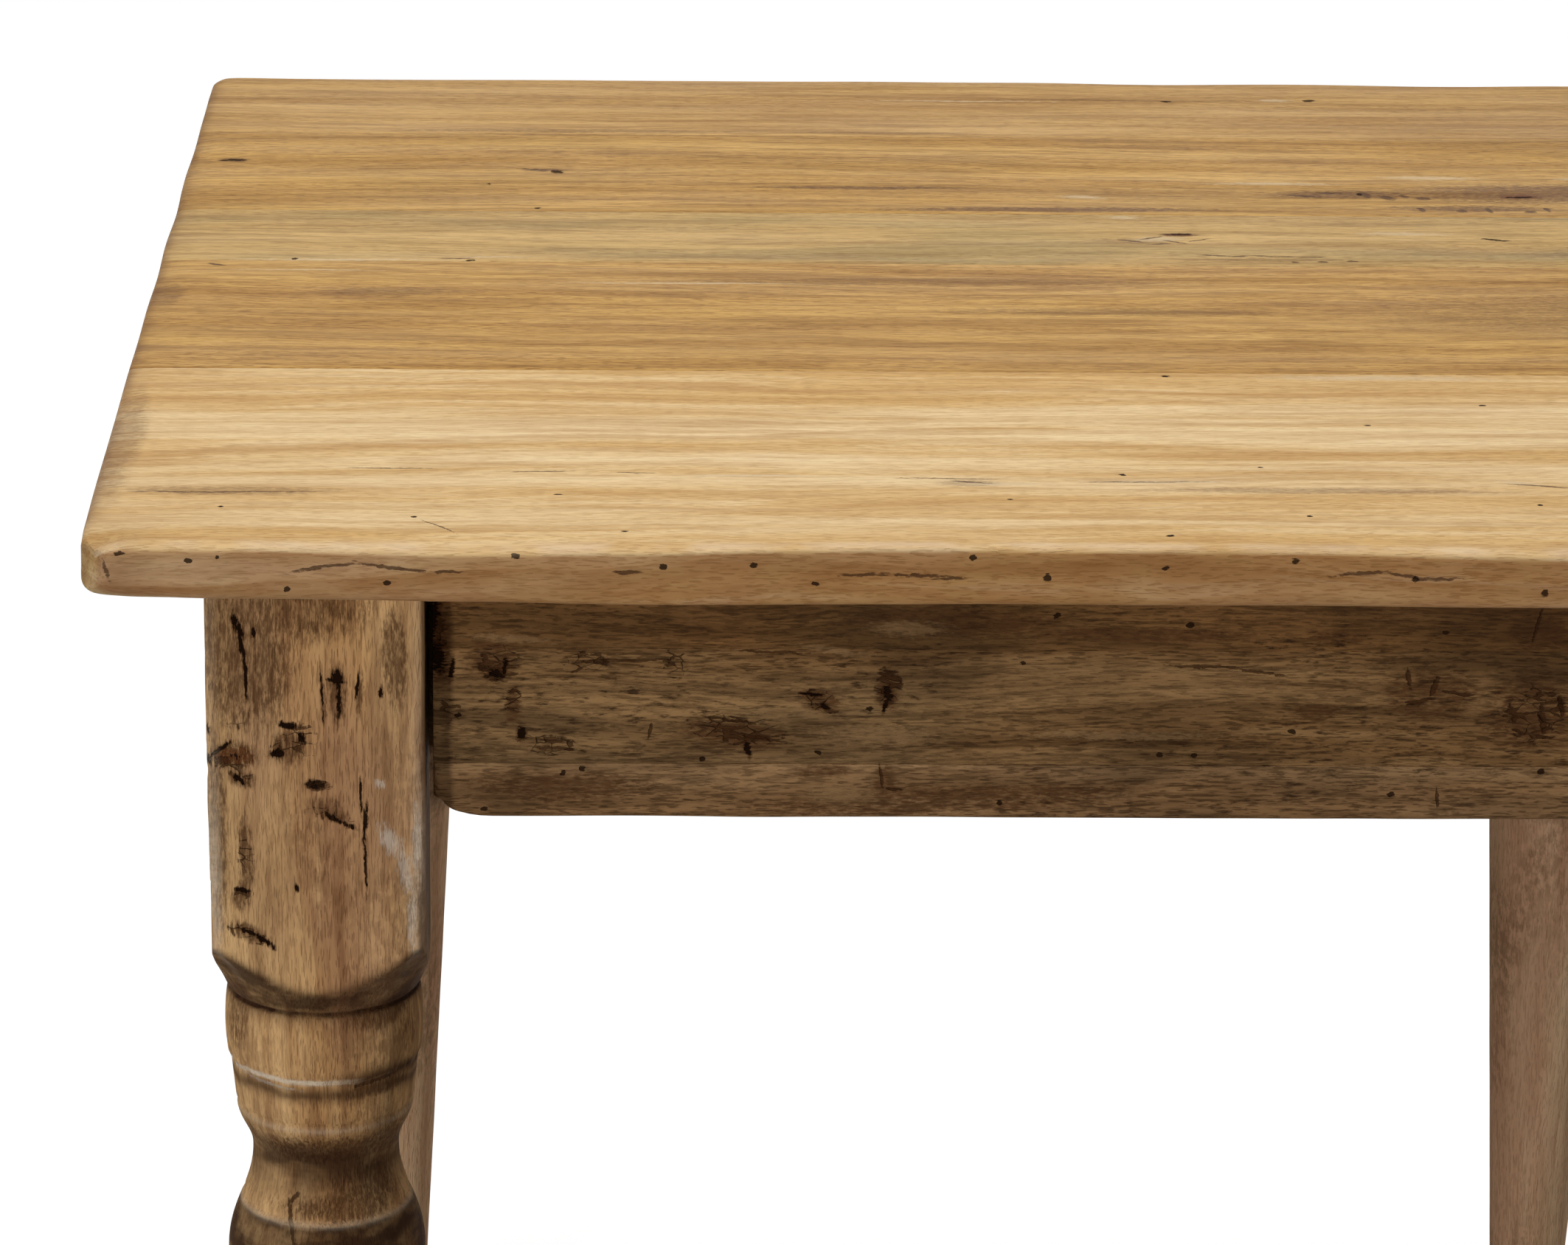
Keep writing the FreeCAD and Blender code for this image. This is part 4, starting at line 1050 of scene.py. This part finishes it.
def reordered(tree, vector, order):
    """The vector with its three parts in another order."""
    parts = shader_node(tree, "ShaderNodeSeparateXYZ", {0: vector}).outputs
    inputs = {place: parts[part] for place, part in zip("XYZ", order)}
    return shader_node(tree, "ShaderNodeCombineXYZ", inputs).outputs[0]


def along_z(tree, vector):
    """Grain upright: height becomes the grain's own X."""
    return reordered(tree, vector, "ZXY")


# the brown of dirt and of painted shade in the creases, the neck, the bulb and the inner sides
GRIME_AND_SHADE_BROWN = rgba(52, 30, 18)
# the pale of rubbed wear, and of the painted highlight on the fillet
RUBBED_AND_LIT_PALE = rgba(246, 224, 196)
MOTTLE_BROWN = rgba(120, 82, 50)


def leg_patina(tree, place, colour, height):
    """Dirt and painted shade in the turned creases and on the inner sides, rubbed proud lines and a
    painted highlight on the fillet, and a mottled bloom of old finish.
    """
    for attribute, paint, share, least, tear in (
        ("grime_and_shade", GRIME_AND_SHADE_BROWN, 0.96, 0.64, (34.0, 34.0, 70.0)),
        ("rubbed_and_highlight", RUBBED_AND_LIT_PALE, 1.0, 0.65, (110.0, 110.0, 260.0)),
    ):
        torn = stretched_noise(tree, place, tear, 3.0, 0.6)["Fac"]
        amount = thinned_mark(tree, attribute, torn, 0.32, 0.58, least)
        colour = blended(tree, maths(tree, "MULTIPLY", amount, share), colour, paint)
    cloud = stretched_noise(tree, place, (16.0, 16.0, 9.0), 2.0)["Fac"]
    speck = stretched_noise(tree, place, (230.0, 230.0, 130.0), 3.0, 0.65)["Fac"]
    bloom = ramp_between(tree, cloud, 0.44, 0.62)
    mottle = maths(tree, "MULTIPLY", bloom, ramp_between(tree, speck, 0.40, 0.58))
    colour = blended(tree, maths(tree, "MULTIPLY", mottle, 0.40), colour, MOTTLE_BROWN)
    return colour, maths(tree, "MULTIPLY_ADD", speck, -0.6, height)


# name, side along X, side along Y, turn of the leg about its axis
LEGS = (
    ("front_left", -1, -1, 0),
    ("front_right", 1, -1, 90),
    ("rear_right", 1, 1, 180),
    ("rear_left", -1, 1, 270),
)
# on the front of the near left leg: place along X and up, half width, half height, turn
LEG_MARKS = {
    "torn": [
        (-389, 656, 6, 2.6, -8), (-360, 652, 10, 8, -12), (-363, 645, 12, 5, -8), (-391, 636, 12, 5, -24),
        (-352, 627, 8, 3.6, -14), (-346, 612, 14, 3.8, -18), (-387, 574, 6, 4.4, -10),
        (-385, 553, 13, 4.4, -24), (-386, 592, 5, 12, 0),
    ],
    "hole": [
        (-389, 707, 1.0, 4, 14), (-386, 698, 1.1, 8, 8), (-384, 682, 0.6, 12, 3), (-380, 702, 0.8, 2.2, 0),
        (-342, 680, 1.7, 2.8, 0), (-342.5, 678, 3.0, 0.7, -10), (-341.5, 670, 0.9, 10, -3),
        (-333, 676, 0.5, 5, -6), (-349, 672, 0.35, 9, 2), (-323, 673, 0.9, 2.2, 0),
        (-365, 656.5, 4, 1.3, -10), (-359, 650, 1.2, 2.6, 10), (-370, 643, 3.2, 1.6, 6),
        (-397, 645, 5, 0.8, 34), (-388, 630, 4, 1.2, -34), (-353, 627.5, 3.4, 1.8, -10),
        (-346, 611, 4.4, 1.3, -24), (-340, 608, 4.4, 1.1, -24), (-332.5, 622, 0.5, 8, 2),
        (-330.5, 608, 0.9, 9, -5), (-331, 590, 0.5, 12, 2), (-362, 577, 0.8, 1.6, 0),
        (-387, 575, 2.6, 0.8, -14), (-384, 554, 4.0, 0.9, -28), (-378, 550, 4.2, 1.2, -36),
        (-402.5, 655, 1.0, 2.4, 0), (-402.5, 640, 1.2, 2.6, 0),
    ],
    "stain": [
        (-391, 642, 17, 10, 0), (-366, 645, 10, 12, 10), (-387, 631, 9, 7, -30), (-342, 672, 6, 18, 0),
        (-348.5, 670, 1.8, 15, 2), (-332, 670, 1.8, 14, -4), (-386, 590, 5, 30, 0),
        (-318, 513, 16, 7, -14), (-388, 571, 6, 8, 0), (-347, 615, 13, 7, -22), (-385, 554, 13, 6, -24),
        # the broad stains high on the block, at z 690 to 716, are partly painted shade under the top, over a
        # mottled stain
        (-390, 706, 40, 56, 0), (-384, 690, 30, 50, 0), (-360, 716, 44, 26, 0), (-400, 600, 8, 70, 0),
        (-316, 690, 8, 34, 0),
    ],
    "knot": [(-391, 642, 13, 6, -6)],
    "chip": [
        (-319, 600, 7, 14, 24), (-312, 584, 5, 22, 12), (-324, 628, 4, 4, 0), (-309, 560, 4, 24, 0),
        (-307, 600, 3, 26, 0),
    ],
}
# on the turned part below, where the light falls on it
TURNED_MARKS = {
    "check": [
        (-366, 412, 3.4, 0.9, 40), (-368, 400, 1.0, 12, 6), (-367, 382, 1.0, 14, -3),
        (-366, 366, 0.8, 12, -6), (-326, 474, 10, 0.9, 8),
    ],
    "stain": [
        (-326, 419, 32, 15, 0), (-322, 414, 34, 15, 0), (-340, 407, 40, 9, 0), (-322, 508, 26, 9, 8),
        # the stains at the turning's left and right edges, near x -397 and -310, are partly painted shade on
        # its sides
        (-326, 470, 26, 6, 4), (-398, 500, 13, 24, 0), (-305, 496, 15, 24, 0), (-350, 438, 46, 10, 0),
        (-316, 440, 20, 18, 0), (-396, 440, 14, 22, 0),
    ],
    "chip": [(-380, 473, 26, 1.3, -4)],
}
LEG_LOOK = {
    "colours": ((250, 202, 142), (220, 165, 106), (118, 70, 40), (198, 148, 114)),
    "ring": 12,
    "shares": (0.26, 0.8, 0.5, 0.38, 0.5),
}
# the two behind get a paler copy of the colours: painted light on the rear legs in the top's shade
REAR_LEG_LIT_LOOK = {
    "colours": ((255, 216, 170), (250, 194, 146), (180, 124, 88), (246, 186, 148)),
    "ring": 14,
    "shares": (0.2, 0.6, 0.4, 0.35, 0.5),
}
LEG_CHIP = rgba(236, 218, 198)


def random_marks(draw, half_length, half_height, count):
    """Blemishes for a face that the photograph doesn't show: holes, checks along the grain, stains."""

    def drawn(how_many, *ranges):
        """Rows whose values are drawn in turn: the place first, then one from each further range."""
        spans = ((-half_length, half_length), (-half_height, half_height), *ranges)
        return [tuple(draw.uniform(*span) for span in spans) for _ in range(how_many)]

    holes = [(*place, 1.0, 1.6, 0.0) for place in drawn(count)]
    checks = drawn(count // 2, (0.5, 0.9), (8, 18), (-8, 8))
    stains = drawn(count // 2, (4, 9), (7, 16), (-30, 30))
    return holes + checks, stains


for order, (corner, side_x, side_y, turn_deg) in enumerate(LEGS):
    name = f"leg_{corner}"
    low, high = (np.array(edge_point) / MM for edge_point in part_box(name))
    axis = (low + high) / 2
    seen_close = corner == "front_left"
    columns, row_step = CLOSE_MESH if seen_close else FAR_MESH
    # the front legs get painted shade on their inner sides
    inner_shade = 0.9 if side_y < 0 else 0.0
    points, faces, grime_and_shade, rubbed_and_highlight = make_leg_surface(columns, row_step, turn_deg, 60 + 10 * order, inner_shade)
    points[:, :2] += axis[:2]
    face_y = axis[1] + side_y * LEG_BLOCK / 2
    face_x = axis[0] + side_x * LEG_BLOCK / 2

    def on_leg_front(x, z, half_width, half_height, turn, level=face_y):
        """A blemish on the leg's front or rear face."""
        return (x, level, z), (0, -turn, 0), (half_width, BLEMISH_DEPTH, half_height)

    def on_turned(x, z, half_width, half_height, turn, level=axis[1] - BULB_RADIUS + 12):
        """A blemish on the front of the turned part, deep enough to follow its curve."""
        return (x, level, z), (0, -turn, 0), (half_width, 26, half_height)

    def on_leg_side(y, z, half_width, half_height, turn, level=face_x):
        """A blemish on the leg's outer side face."""
        return (level, y, z), (turn, 0, 0), (BLEMISH_DEPTH, half_width, half_height)

    draw = np.random.default_rng(100 + order)
    if seen_close:
        block_kinds = ("stain", "knot", "chip", "torn", "hole")
        blemishes = [(kind, TURNED_MARKS[kind], on_turned) for kind in ("stain", "chip", "check")]
        blemishes += [(kind, LEG_MARKS[kind], on_leg_front) for kind in block_kinds]
        unseen_faces = [(axis[1], on_leg_side)]
    else:
        blemishes = []
        unseen_faces = [(axis[0], on_leg_front), (axis[1], on_leg_side)]
    for middle, to_space in unseen_faces:
        holes, stains = random_marks(draw, *LEG_MARK_REACH, LEG_MARK_COUNT)
        for kind, rows in (("stain", stains), ("hole", holes)):
            moved = [(row[0] + middle, row[1] + BLOCK_MIDDLE_Z, *row[2:]) for row in rows]
            blemishes.append((kind, moved, to_space))
    pith = (0.0, (axis[0] - side_x * LEG_PITH_X) * MM, (axis[1] - side_y * LEG_PITH_Y) * MM)
    shift = (2.3 * order + 0.7, 4.1 * order, 1.3 * order)
    material = wood_material(
        f"waxed_leg_{corner}",
        along_z,
        grain_of(REAR_LEG_LIT_LOOK if side_y > 0 else LEG_LOOK, shift, pith),
        blemishes,
        rough_low=0.70,
        gloss=0.06,
        bump_mm=0.4,
        chip=LEG_CHIP,
        extra=leg_patina,
    )
    marks = {"grime_and_shade": grime_and_shade, "rubbed_and_highlight": rubbed_and_highlight}
    make_piece(f"{name}_worn", points, faces, material, "leg_wood", name, sharp_deg=34, **marks)


# Aprons: on each side three rough staves glued edge to edge, stopping a few millimetres short of
# the legs. Old saw marks, torn fibres and worm holes show; the lower corners are rounded over.
APRON_CORNER_ROUND = 10
APRON_ARRIS = 3
STAVE_ARRIS = 0.8
SEAM_GROOVE = 0.6 * STAVE_ARRIS
APRON_WAVE = 0.5
# the steps of a stave's lattice, and its closer lines near a seam and near the outer face
APRON_STEP = 5
SEAM_ZONE, SEAM_LINES = 2, 3
FACE_ZONE, FACE_LINES = 4, 4
APRON_END_LIFT, APRON_END_REACH = 7, 26
# the height of the aprons' middle, about which random marks lie, and their reach and number
APRON_MIDDLE_Z = 670
APRON_MARK_REACH, APRON_MARK_COUNT = (280, 58), 14
# how far outside a stave a mark may end and still touch it, once its outline is shaken
MARK_MARGIN = 4
# the staves' colours grow darker the higher they sit: partly painted shade under the top's overhang, partly
# their own tone
APRON_COLOURS = {
    "upper": ((162, 117, 71), (127, 87, 49), (62, 40, 21), (120, 91, 56)),
    "middle": ((188, 146, 97), (150, 110, 68), (68, 44, 24), (136, 108, 74)),
    "lower": ((208, 166, 118), (170, 127, 84), (78, 53, 31), (154, 123, 90)),
}
APRON_SHARES = (0.3, 0.9, 0.8, 0.62, 0.6)
APRON_KINDS = ("stain", "chip", "torn", "check", "hole", "pin")
APRON_CHIP = rgba(176, 138, 94)
APRON_MARKS = {
    "torn": [
        (-268, 682, 12, 11, 10), (-262, 664, 5, 8, 0), (-228, 683, 12, 7, 0), (-186, 683, 8, 9, 0),
        (-158, 650, 28, 9, -8), (-246, 643, 18, 6, -8), (-88, 672, 8, 13, 0), (-119, 664, 13, 6, -20),
        (214, 660, 18, 18, 0), (-297, 692, 7, 20, 0), (-292, 660, 6, 12, 0),
    ],
    "hole": [
        (-270, 677, 3.0, 1.8, 10), (-266, 680, 0.9, 4.0, -12), (-258, 649, 1.8, 2.8, 0),
        (-152, 641, 1.2, 3.0, 10), (-88, 669, 1.8, 3.4, 6), (-89, 663, 0.9, 3.4, -8),
        (-117, 661, 2.4, 1.2, -30), (-123, 667, 4.4, 0.8, -10), (-299, 704, 3, 10, 0),
        (-297, 686, 4, 7, 8), (-290, 680, 1.0, 4, -14),
    ],
    "pin": [
        (-288, 658, 1.5, 1.2, 0), (-239, 629, 1.4, 1.2, 0), (-230, 631, 1.4, 1.2, 0),
        (-275, 610, 1.6, 1.3, 0), (-174, 636, 1.2, 1.0, 0), (-120, 639, 1.8, 1.0, 0),
        (-96, 661, 1.6, 1.2, 0), (-26, 684, 1.5, 1.1, 0), (-35, 615, 1.5, 1.2, 0), (-10, 707, 1.7, 1.4, 0),
        (51, 703, 1.7, 1.2, 0), (171, 700, 1.4, 1.1, 0), (102, 650, 1.6, 1.3, 0), (40, 639, 1.5, 1.2, 0),
        (56, 638, 1.4, 1.2, 0), (218, 631, 1.7, 1.2, 0), (149, 619, 1.5, 1.2, 0),
    ],
    "check": [
        (-210, 684, 22, 0.7, 2), (-140, 688, 16, 0.6, -3), (-160, 655, 12, 0.7, -10),
        (-146, 646, 12, 0.7, -12), (-240, 641, 12, 0.7, -6), (60, 682, 18, 0.7, -4),
        (84, 680, 14, 0.7, -7), (171, 617, 0.7, 5, 3), (213, 703, 0.8, 8, -14), (178, 669, 7, 0.8, -10),
        (155, 677, 1.0, 5, 12), (167, 672, 1.1, 5, -18), (160, 665, 8, 0.9, 12), (218, 658, 1.3, 7, 8),
        (226, 664, 1.0, 5, 10), (-90, 627, 0.7, 6, 6), (-84, 621, 4, 0.7, -4), (-198, 649, 0.6, 4, -10),
    ],
    "stain": [
        (-272, 684, 16, 13, 10), (-160, 648, 32, 9, -8), (-262, 662, 5, 12, 0), (-88, 671, 8, 16, 0),
        (-119, 664, 15, 8, -20), (-88, 624, 7, 12, 0), (-117, 630, 20, 4, 0), (165, 668, 30, 18, 0),
        (212, 660, 30, 26, 0), (30, 698, 70, 5, 0), (121, 697, 18, 5, 0), (112, 660, 15, 6, 0),
        (-297, 690, 10, 28, 0), (215, 700, 20, 12, 0), (-60, 616, 120, 9, 3), (-240, 622, 60, 9, 0),
        (-60, 704, 70, 9, 0),
    ],
    "chip": [
        (-262, 694, 34, 3, -2), (-80, 700, 30, 6, 0), (-112, 689, 26, 3, -6), (-92, 648, 44, 8, 0),
        (-110, 618, 26, 7, 0), (20, 648, 70, 4, 0),
    ],
}


def turned_about_z(points, degrees):
    """Points turned about the table's upright middle line."""
    angle = math.radians(degrees)
    along, aside = math.cos(angle), math.sin(angle)
    return points @ np.array([[along, aside, 0], [-aside, along, 0], [0, 0, 1]])


SAW_BROWN = rgba(52, 32, 18)


def rough_sawn(tree, place, colour, height):
    """Torn fibres and shallow chatter left by an old saw."""
    tear = stretched_noise(tree, place, (95.0, 95.0, 430.0), 4.0, 0.7)["Fac"]
    deep = ramp_between(tree, tear, 0.50, 0.68)
    cloud = stretched_noise(tree, place, (9.0, 9.0, 30.0), 2.0)["Fac"]
    share = maths(tree, "MULTIPLY", deep, ramp_between(tree, cloud, 0.35, 0.65, 0.25, 0.85))
    colour = blended(tree, share, colour, SAW_BROWN)
    shade = stretched_noise(tree, place, (7.0, 7.0, 16.0), 3.0)["Fac"]
    colour = blended(tree, ramp_between(tree, shade, 0.5, 0.72, 0.0, 0.5), colour, SAW_BROWN)
    return colour, maths(tree, "MULTIPLY_ADD", tear, -1.6, height)


def along_y(tree, vector):
    """Grain along the table's depth."""
    return reordered(tree, vector, "YXZ")


# name, turn from the front, grain
SIDES = (("front", 0, along_x), ("right", 90, along_y), ("rear", 180, along_x), ("left", 270, along_y))

outer_face_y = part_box("apron_front_upper")[0].y / MM
for order, (side, turn_deg, direction) in enumerate(SIDES):
    draw = np.random.default_rng(200 + order)
    holes, stains = random_marks(draw, *APRON_MARK_REACH, APRON_MARK_COUNT)

    def on_apron(along, z, half_length, half_height, turn, turn_deg=turn_deg):
        """A blemish on the outer face of an apron, given as if it were the front one."""
        place = turned_about_z(np.array([[along, outer_face_y, z]]), turn_deg)[0]
        return tuple(place), (0, -turn, turn_deg), (half_length, BLEMISH_DEPTH, half_height)

    marks = APRON_MARKS
    if side != "front":
        marks = {
            kind: [(x, z + APRON_MIDDLE_Z, long * b, high * a, turn) for x, z, a, b, turn in rows]
            for kind, rows, long, high in (
                ("check", holes, 1, 1),
                ("stain", stains, 2, 1),
                ("torn", stains, 1.4, 0.8),
            )
        }
    for level_order, (level, colours) in enumerate(APRON_COLOURS.items()):
        name = f"apron_{side}_{level}"
        low, high = (np.array(corner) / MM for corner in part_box(f"apron_front_{level}"))
        worn_low = level == "lower"
        # worked with the outer face upwards, so that its four arrises can be rounded, then stood up
        flat_low = np.array([low[0], low[2], -high[1]])
        flat_high = np.array([high[0], high[2], -low[1]])
        low_zone, low_lines = (ARRIS_ZONE, ARRIS_LINES) if worn_low else (SEAM_ZONE, SEAM_LINES)
        x = cut_lines(flat_low[0], flat_high[0], APRON_STEP, ARRIS_ZONE, ARRIS_ZONE, ARRIS_LINES)
        y = cut_lines(flat_low[1], flat_high[1], APRON_STEP, low_zone, SEAM_ZONE, low_lines)
        z = cut_lines(flat_low[2], flat_high[2], APRON_STEP, FACE_ZONE, FACE_ZONE, FACE_LINES)
        flat, faces = lattice_skin(x, y, z)
        points = flat.copy()
        seam = flat[:, 1] == flat_high[1]
        if worn_low:
            rounds = ({"left", "right", "front"}, APRON_CORNER_ROUND, APRON_ARRIS, 1.0)
        else:
            rounds = ({"left", "right"}, STAVE_ARRIS, STAVE_ARRIS, STAVE_ARRIS)
            seam |= flat[:, 1] == flat_low[1]
        round_rims(points, flat_low, flat_high, *rounds)
        points[:, 2] -= np.where(seam & (flat[:, 2] == flat_high[2]), SEAM_GROOVE, 0)
        on_face = flat[:, 2] > flat_high[2] - FACE_ZONE
        wave = rolling(flat, 60, 80 + 10 * order + level_order)
        points[:, 2] -= np.where(on_face, APRON_WAVE * wave, 0)
        if worn_low:
            low_edge = nearness(flat[:, 1] - flat_low[1], ARRIS_ZONE)
            end_gap = np.minimum(flat[:, 0] - flat_low[0], flat_high[0] - flat[:, 0])
            points[:, 1] += low_edge * 0.8 * rolling(flat * (1, 0, 0), 140, 90 + order)
            points[:, 1] += low_edge * APRON_END_LIFT * nearness(end_gap, APRON_END_REACH) ** 2
        stood = turned_about_z(np.stack([points[:, 0], -points[:, 2], points[:, 1]], -1), turn_deg)
        blemishes = []
        for kind in APRON_KINDS:
            nearby = [
                row
                for row in marks.get(kind, [])
                if low[2] - MARK_MARGIN < row[1] + row[3] and row[1] - row[3] < high[2] + MARK_MARGIN
            ]
            if nearby:
                blemishes.append((kind, nearby, on_apron))
        shift = (1.9 * order + 2.7 * level_order, 0.8 * level_order, 1.1 * order)
        pith = (0.0, 0.3 * (order - 1.5), (380 + 160 * level_order) * MM)
        material = wood_material(
            f"rough_pine_{side}_{level}",
            direction,
            grain_of({"colours": colours, "ring": 10, "shares": APRON_SHARES}, shift, pith),
            blemishes,
            rough_low=0.72,
            gloss=0.06,
            bump_mm=0.5,
            chip=APRON_CHIP,
            extra=rough_sawn,
        )
        make_piece(f"{name}_worn", stood, faces, material, "apron_wood", name)


# Hidden joinery: plain pine corner blocks, buttons and loose tongues, planed and left without
# wax. Each keeps its CAD mesh; a corner block's grain runs along the block.
HIDDEN_LOOK = {
    "colours": ((210, 176, 128), (186, 148, 98), (140, 100, 60), (176, 142, 104)),
    "ring": 7,
    "shares": (0.5, 0.5, 0.4, 0.2, 0.3),
}
# each piece and the turn of its grain from X, in degrees
HIDDEN_PIECES = (
    ("plank_tongues", 0),
    ("top_buttons", 0),
    ("corner_block_front_left", -45),
    ("corner_block_front_right", 45),
    ("corner_block_rear_right", -45),
    ("corner_block_rear_left", 45),
)


def along_diagonal(degrees):
    """Grain along a line turned from X about the upright."""

    def turned_vector(tree, vector):
        """The place as the turned grain sees it."""
        inputs = {"Vector": vector, "Rotation": (0, 0, math.radians(-degrees))}
        return shader_node(tree, "ShaderNodeMapping", inputs).outputs[0]

    return turned_vector


def finish_cad_piece(name, material):
    """Gives a piece that keeps its CAD mesh its only material."""
    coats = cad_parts[name].data.materials
    coats.clear()
    coats.append(material)


for order, (name, degrees) in enumerate(HIDDEN_PIECES):
    plain = wood_material(
        f"plain_pine_{name}",
        along_diagonal(degrees) if degrees else along_x,
        grain_of(HIDDEN_LOOK, (1.3 * order, 2.9, 0.4 * order), (0.0, 0.2, 0.5)),
        [],
        rough_low=0.62,
        gloss=0.2,
    )
    finish_cad_piece(name, plain)


# Bolts, washers, nuts and screws: hanger bolts hold the legs to their blocks, screws hold the
# blocks to the aprons and the buttons to the top. All are zinc-plated steel, dulled in patches.
ZINC = rgba(176, 176, 172)
ZINC_DULL = rgba(128, 124, 116)
zinc, tree, end = fresh_material("dull_zinc_steel")
place = shader_node(tree, "ShaderNodeTexCoord").outputs["Object"]
patch = stretched_noise(tree, place, (120.0, 120.0, 120.0), 3.0)["Fac"]
plating = {
    "Base Color": blended(tree, ramp_between(tree, patch, 0.4, 0.65), ZINC, ZINC_DULL),
    "Metallic": 1.0,
    "Roughness": ramp_between(tree, patch, 0.35, 0.7, 0.28, 0.5),
}
steel = shader_node(tree, "ShaderNodeBsdfPrincipled", plating)
tree.links.new(steel.outputs[0], end.inputs["Surface"])
for name in ("hanger_bolts", "bolt_washers", "bolt_nuts", "corner_block_screws", "top_button_screws"):
    finish_cad_piece(name, zinc)

low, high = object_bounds()
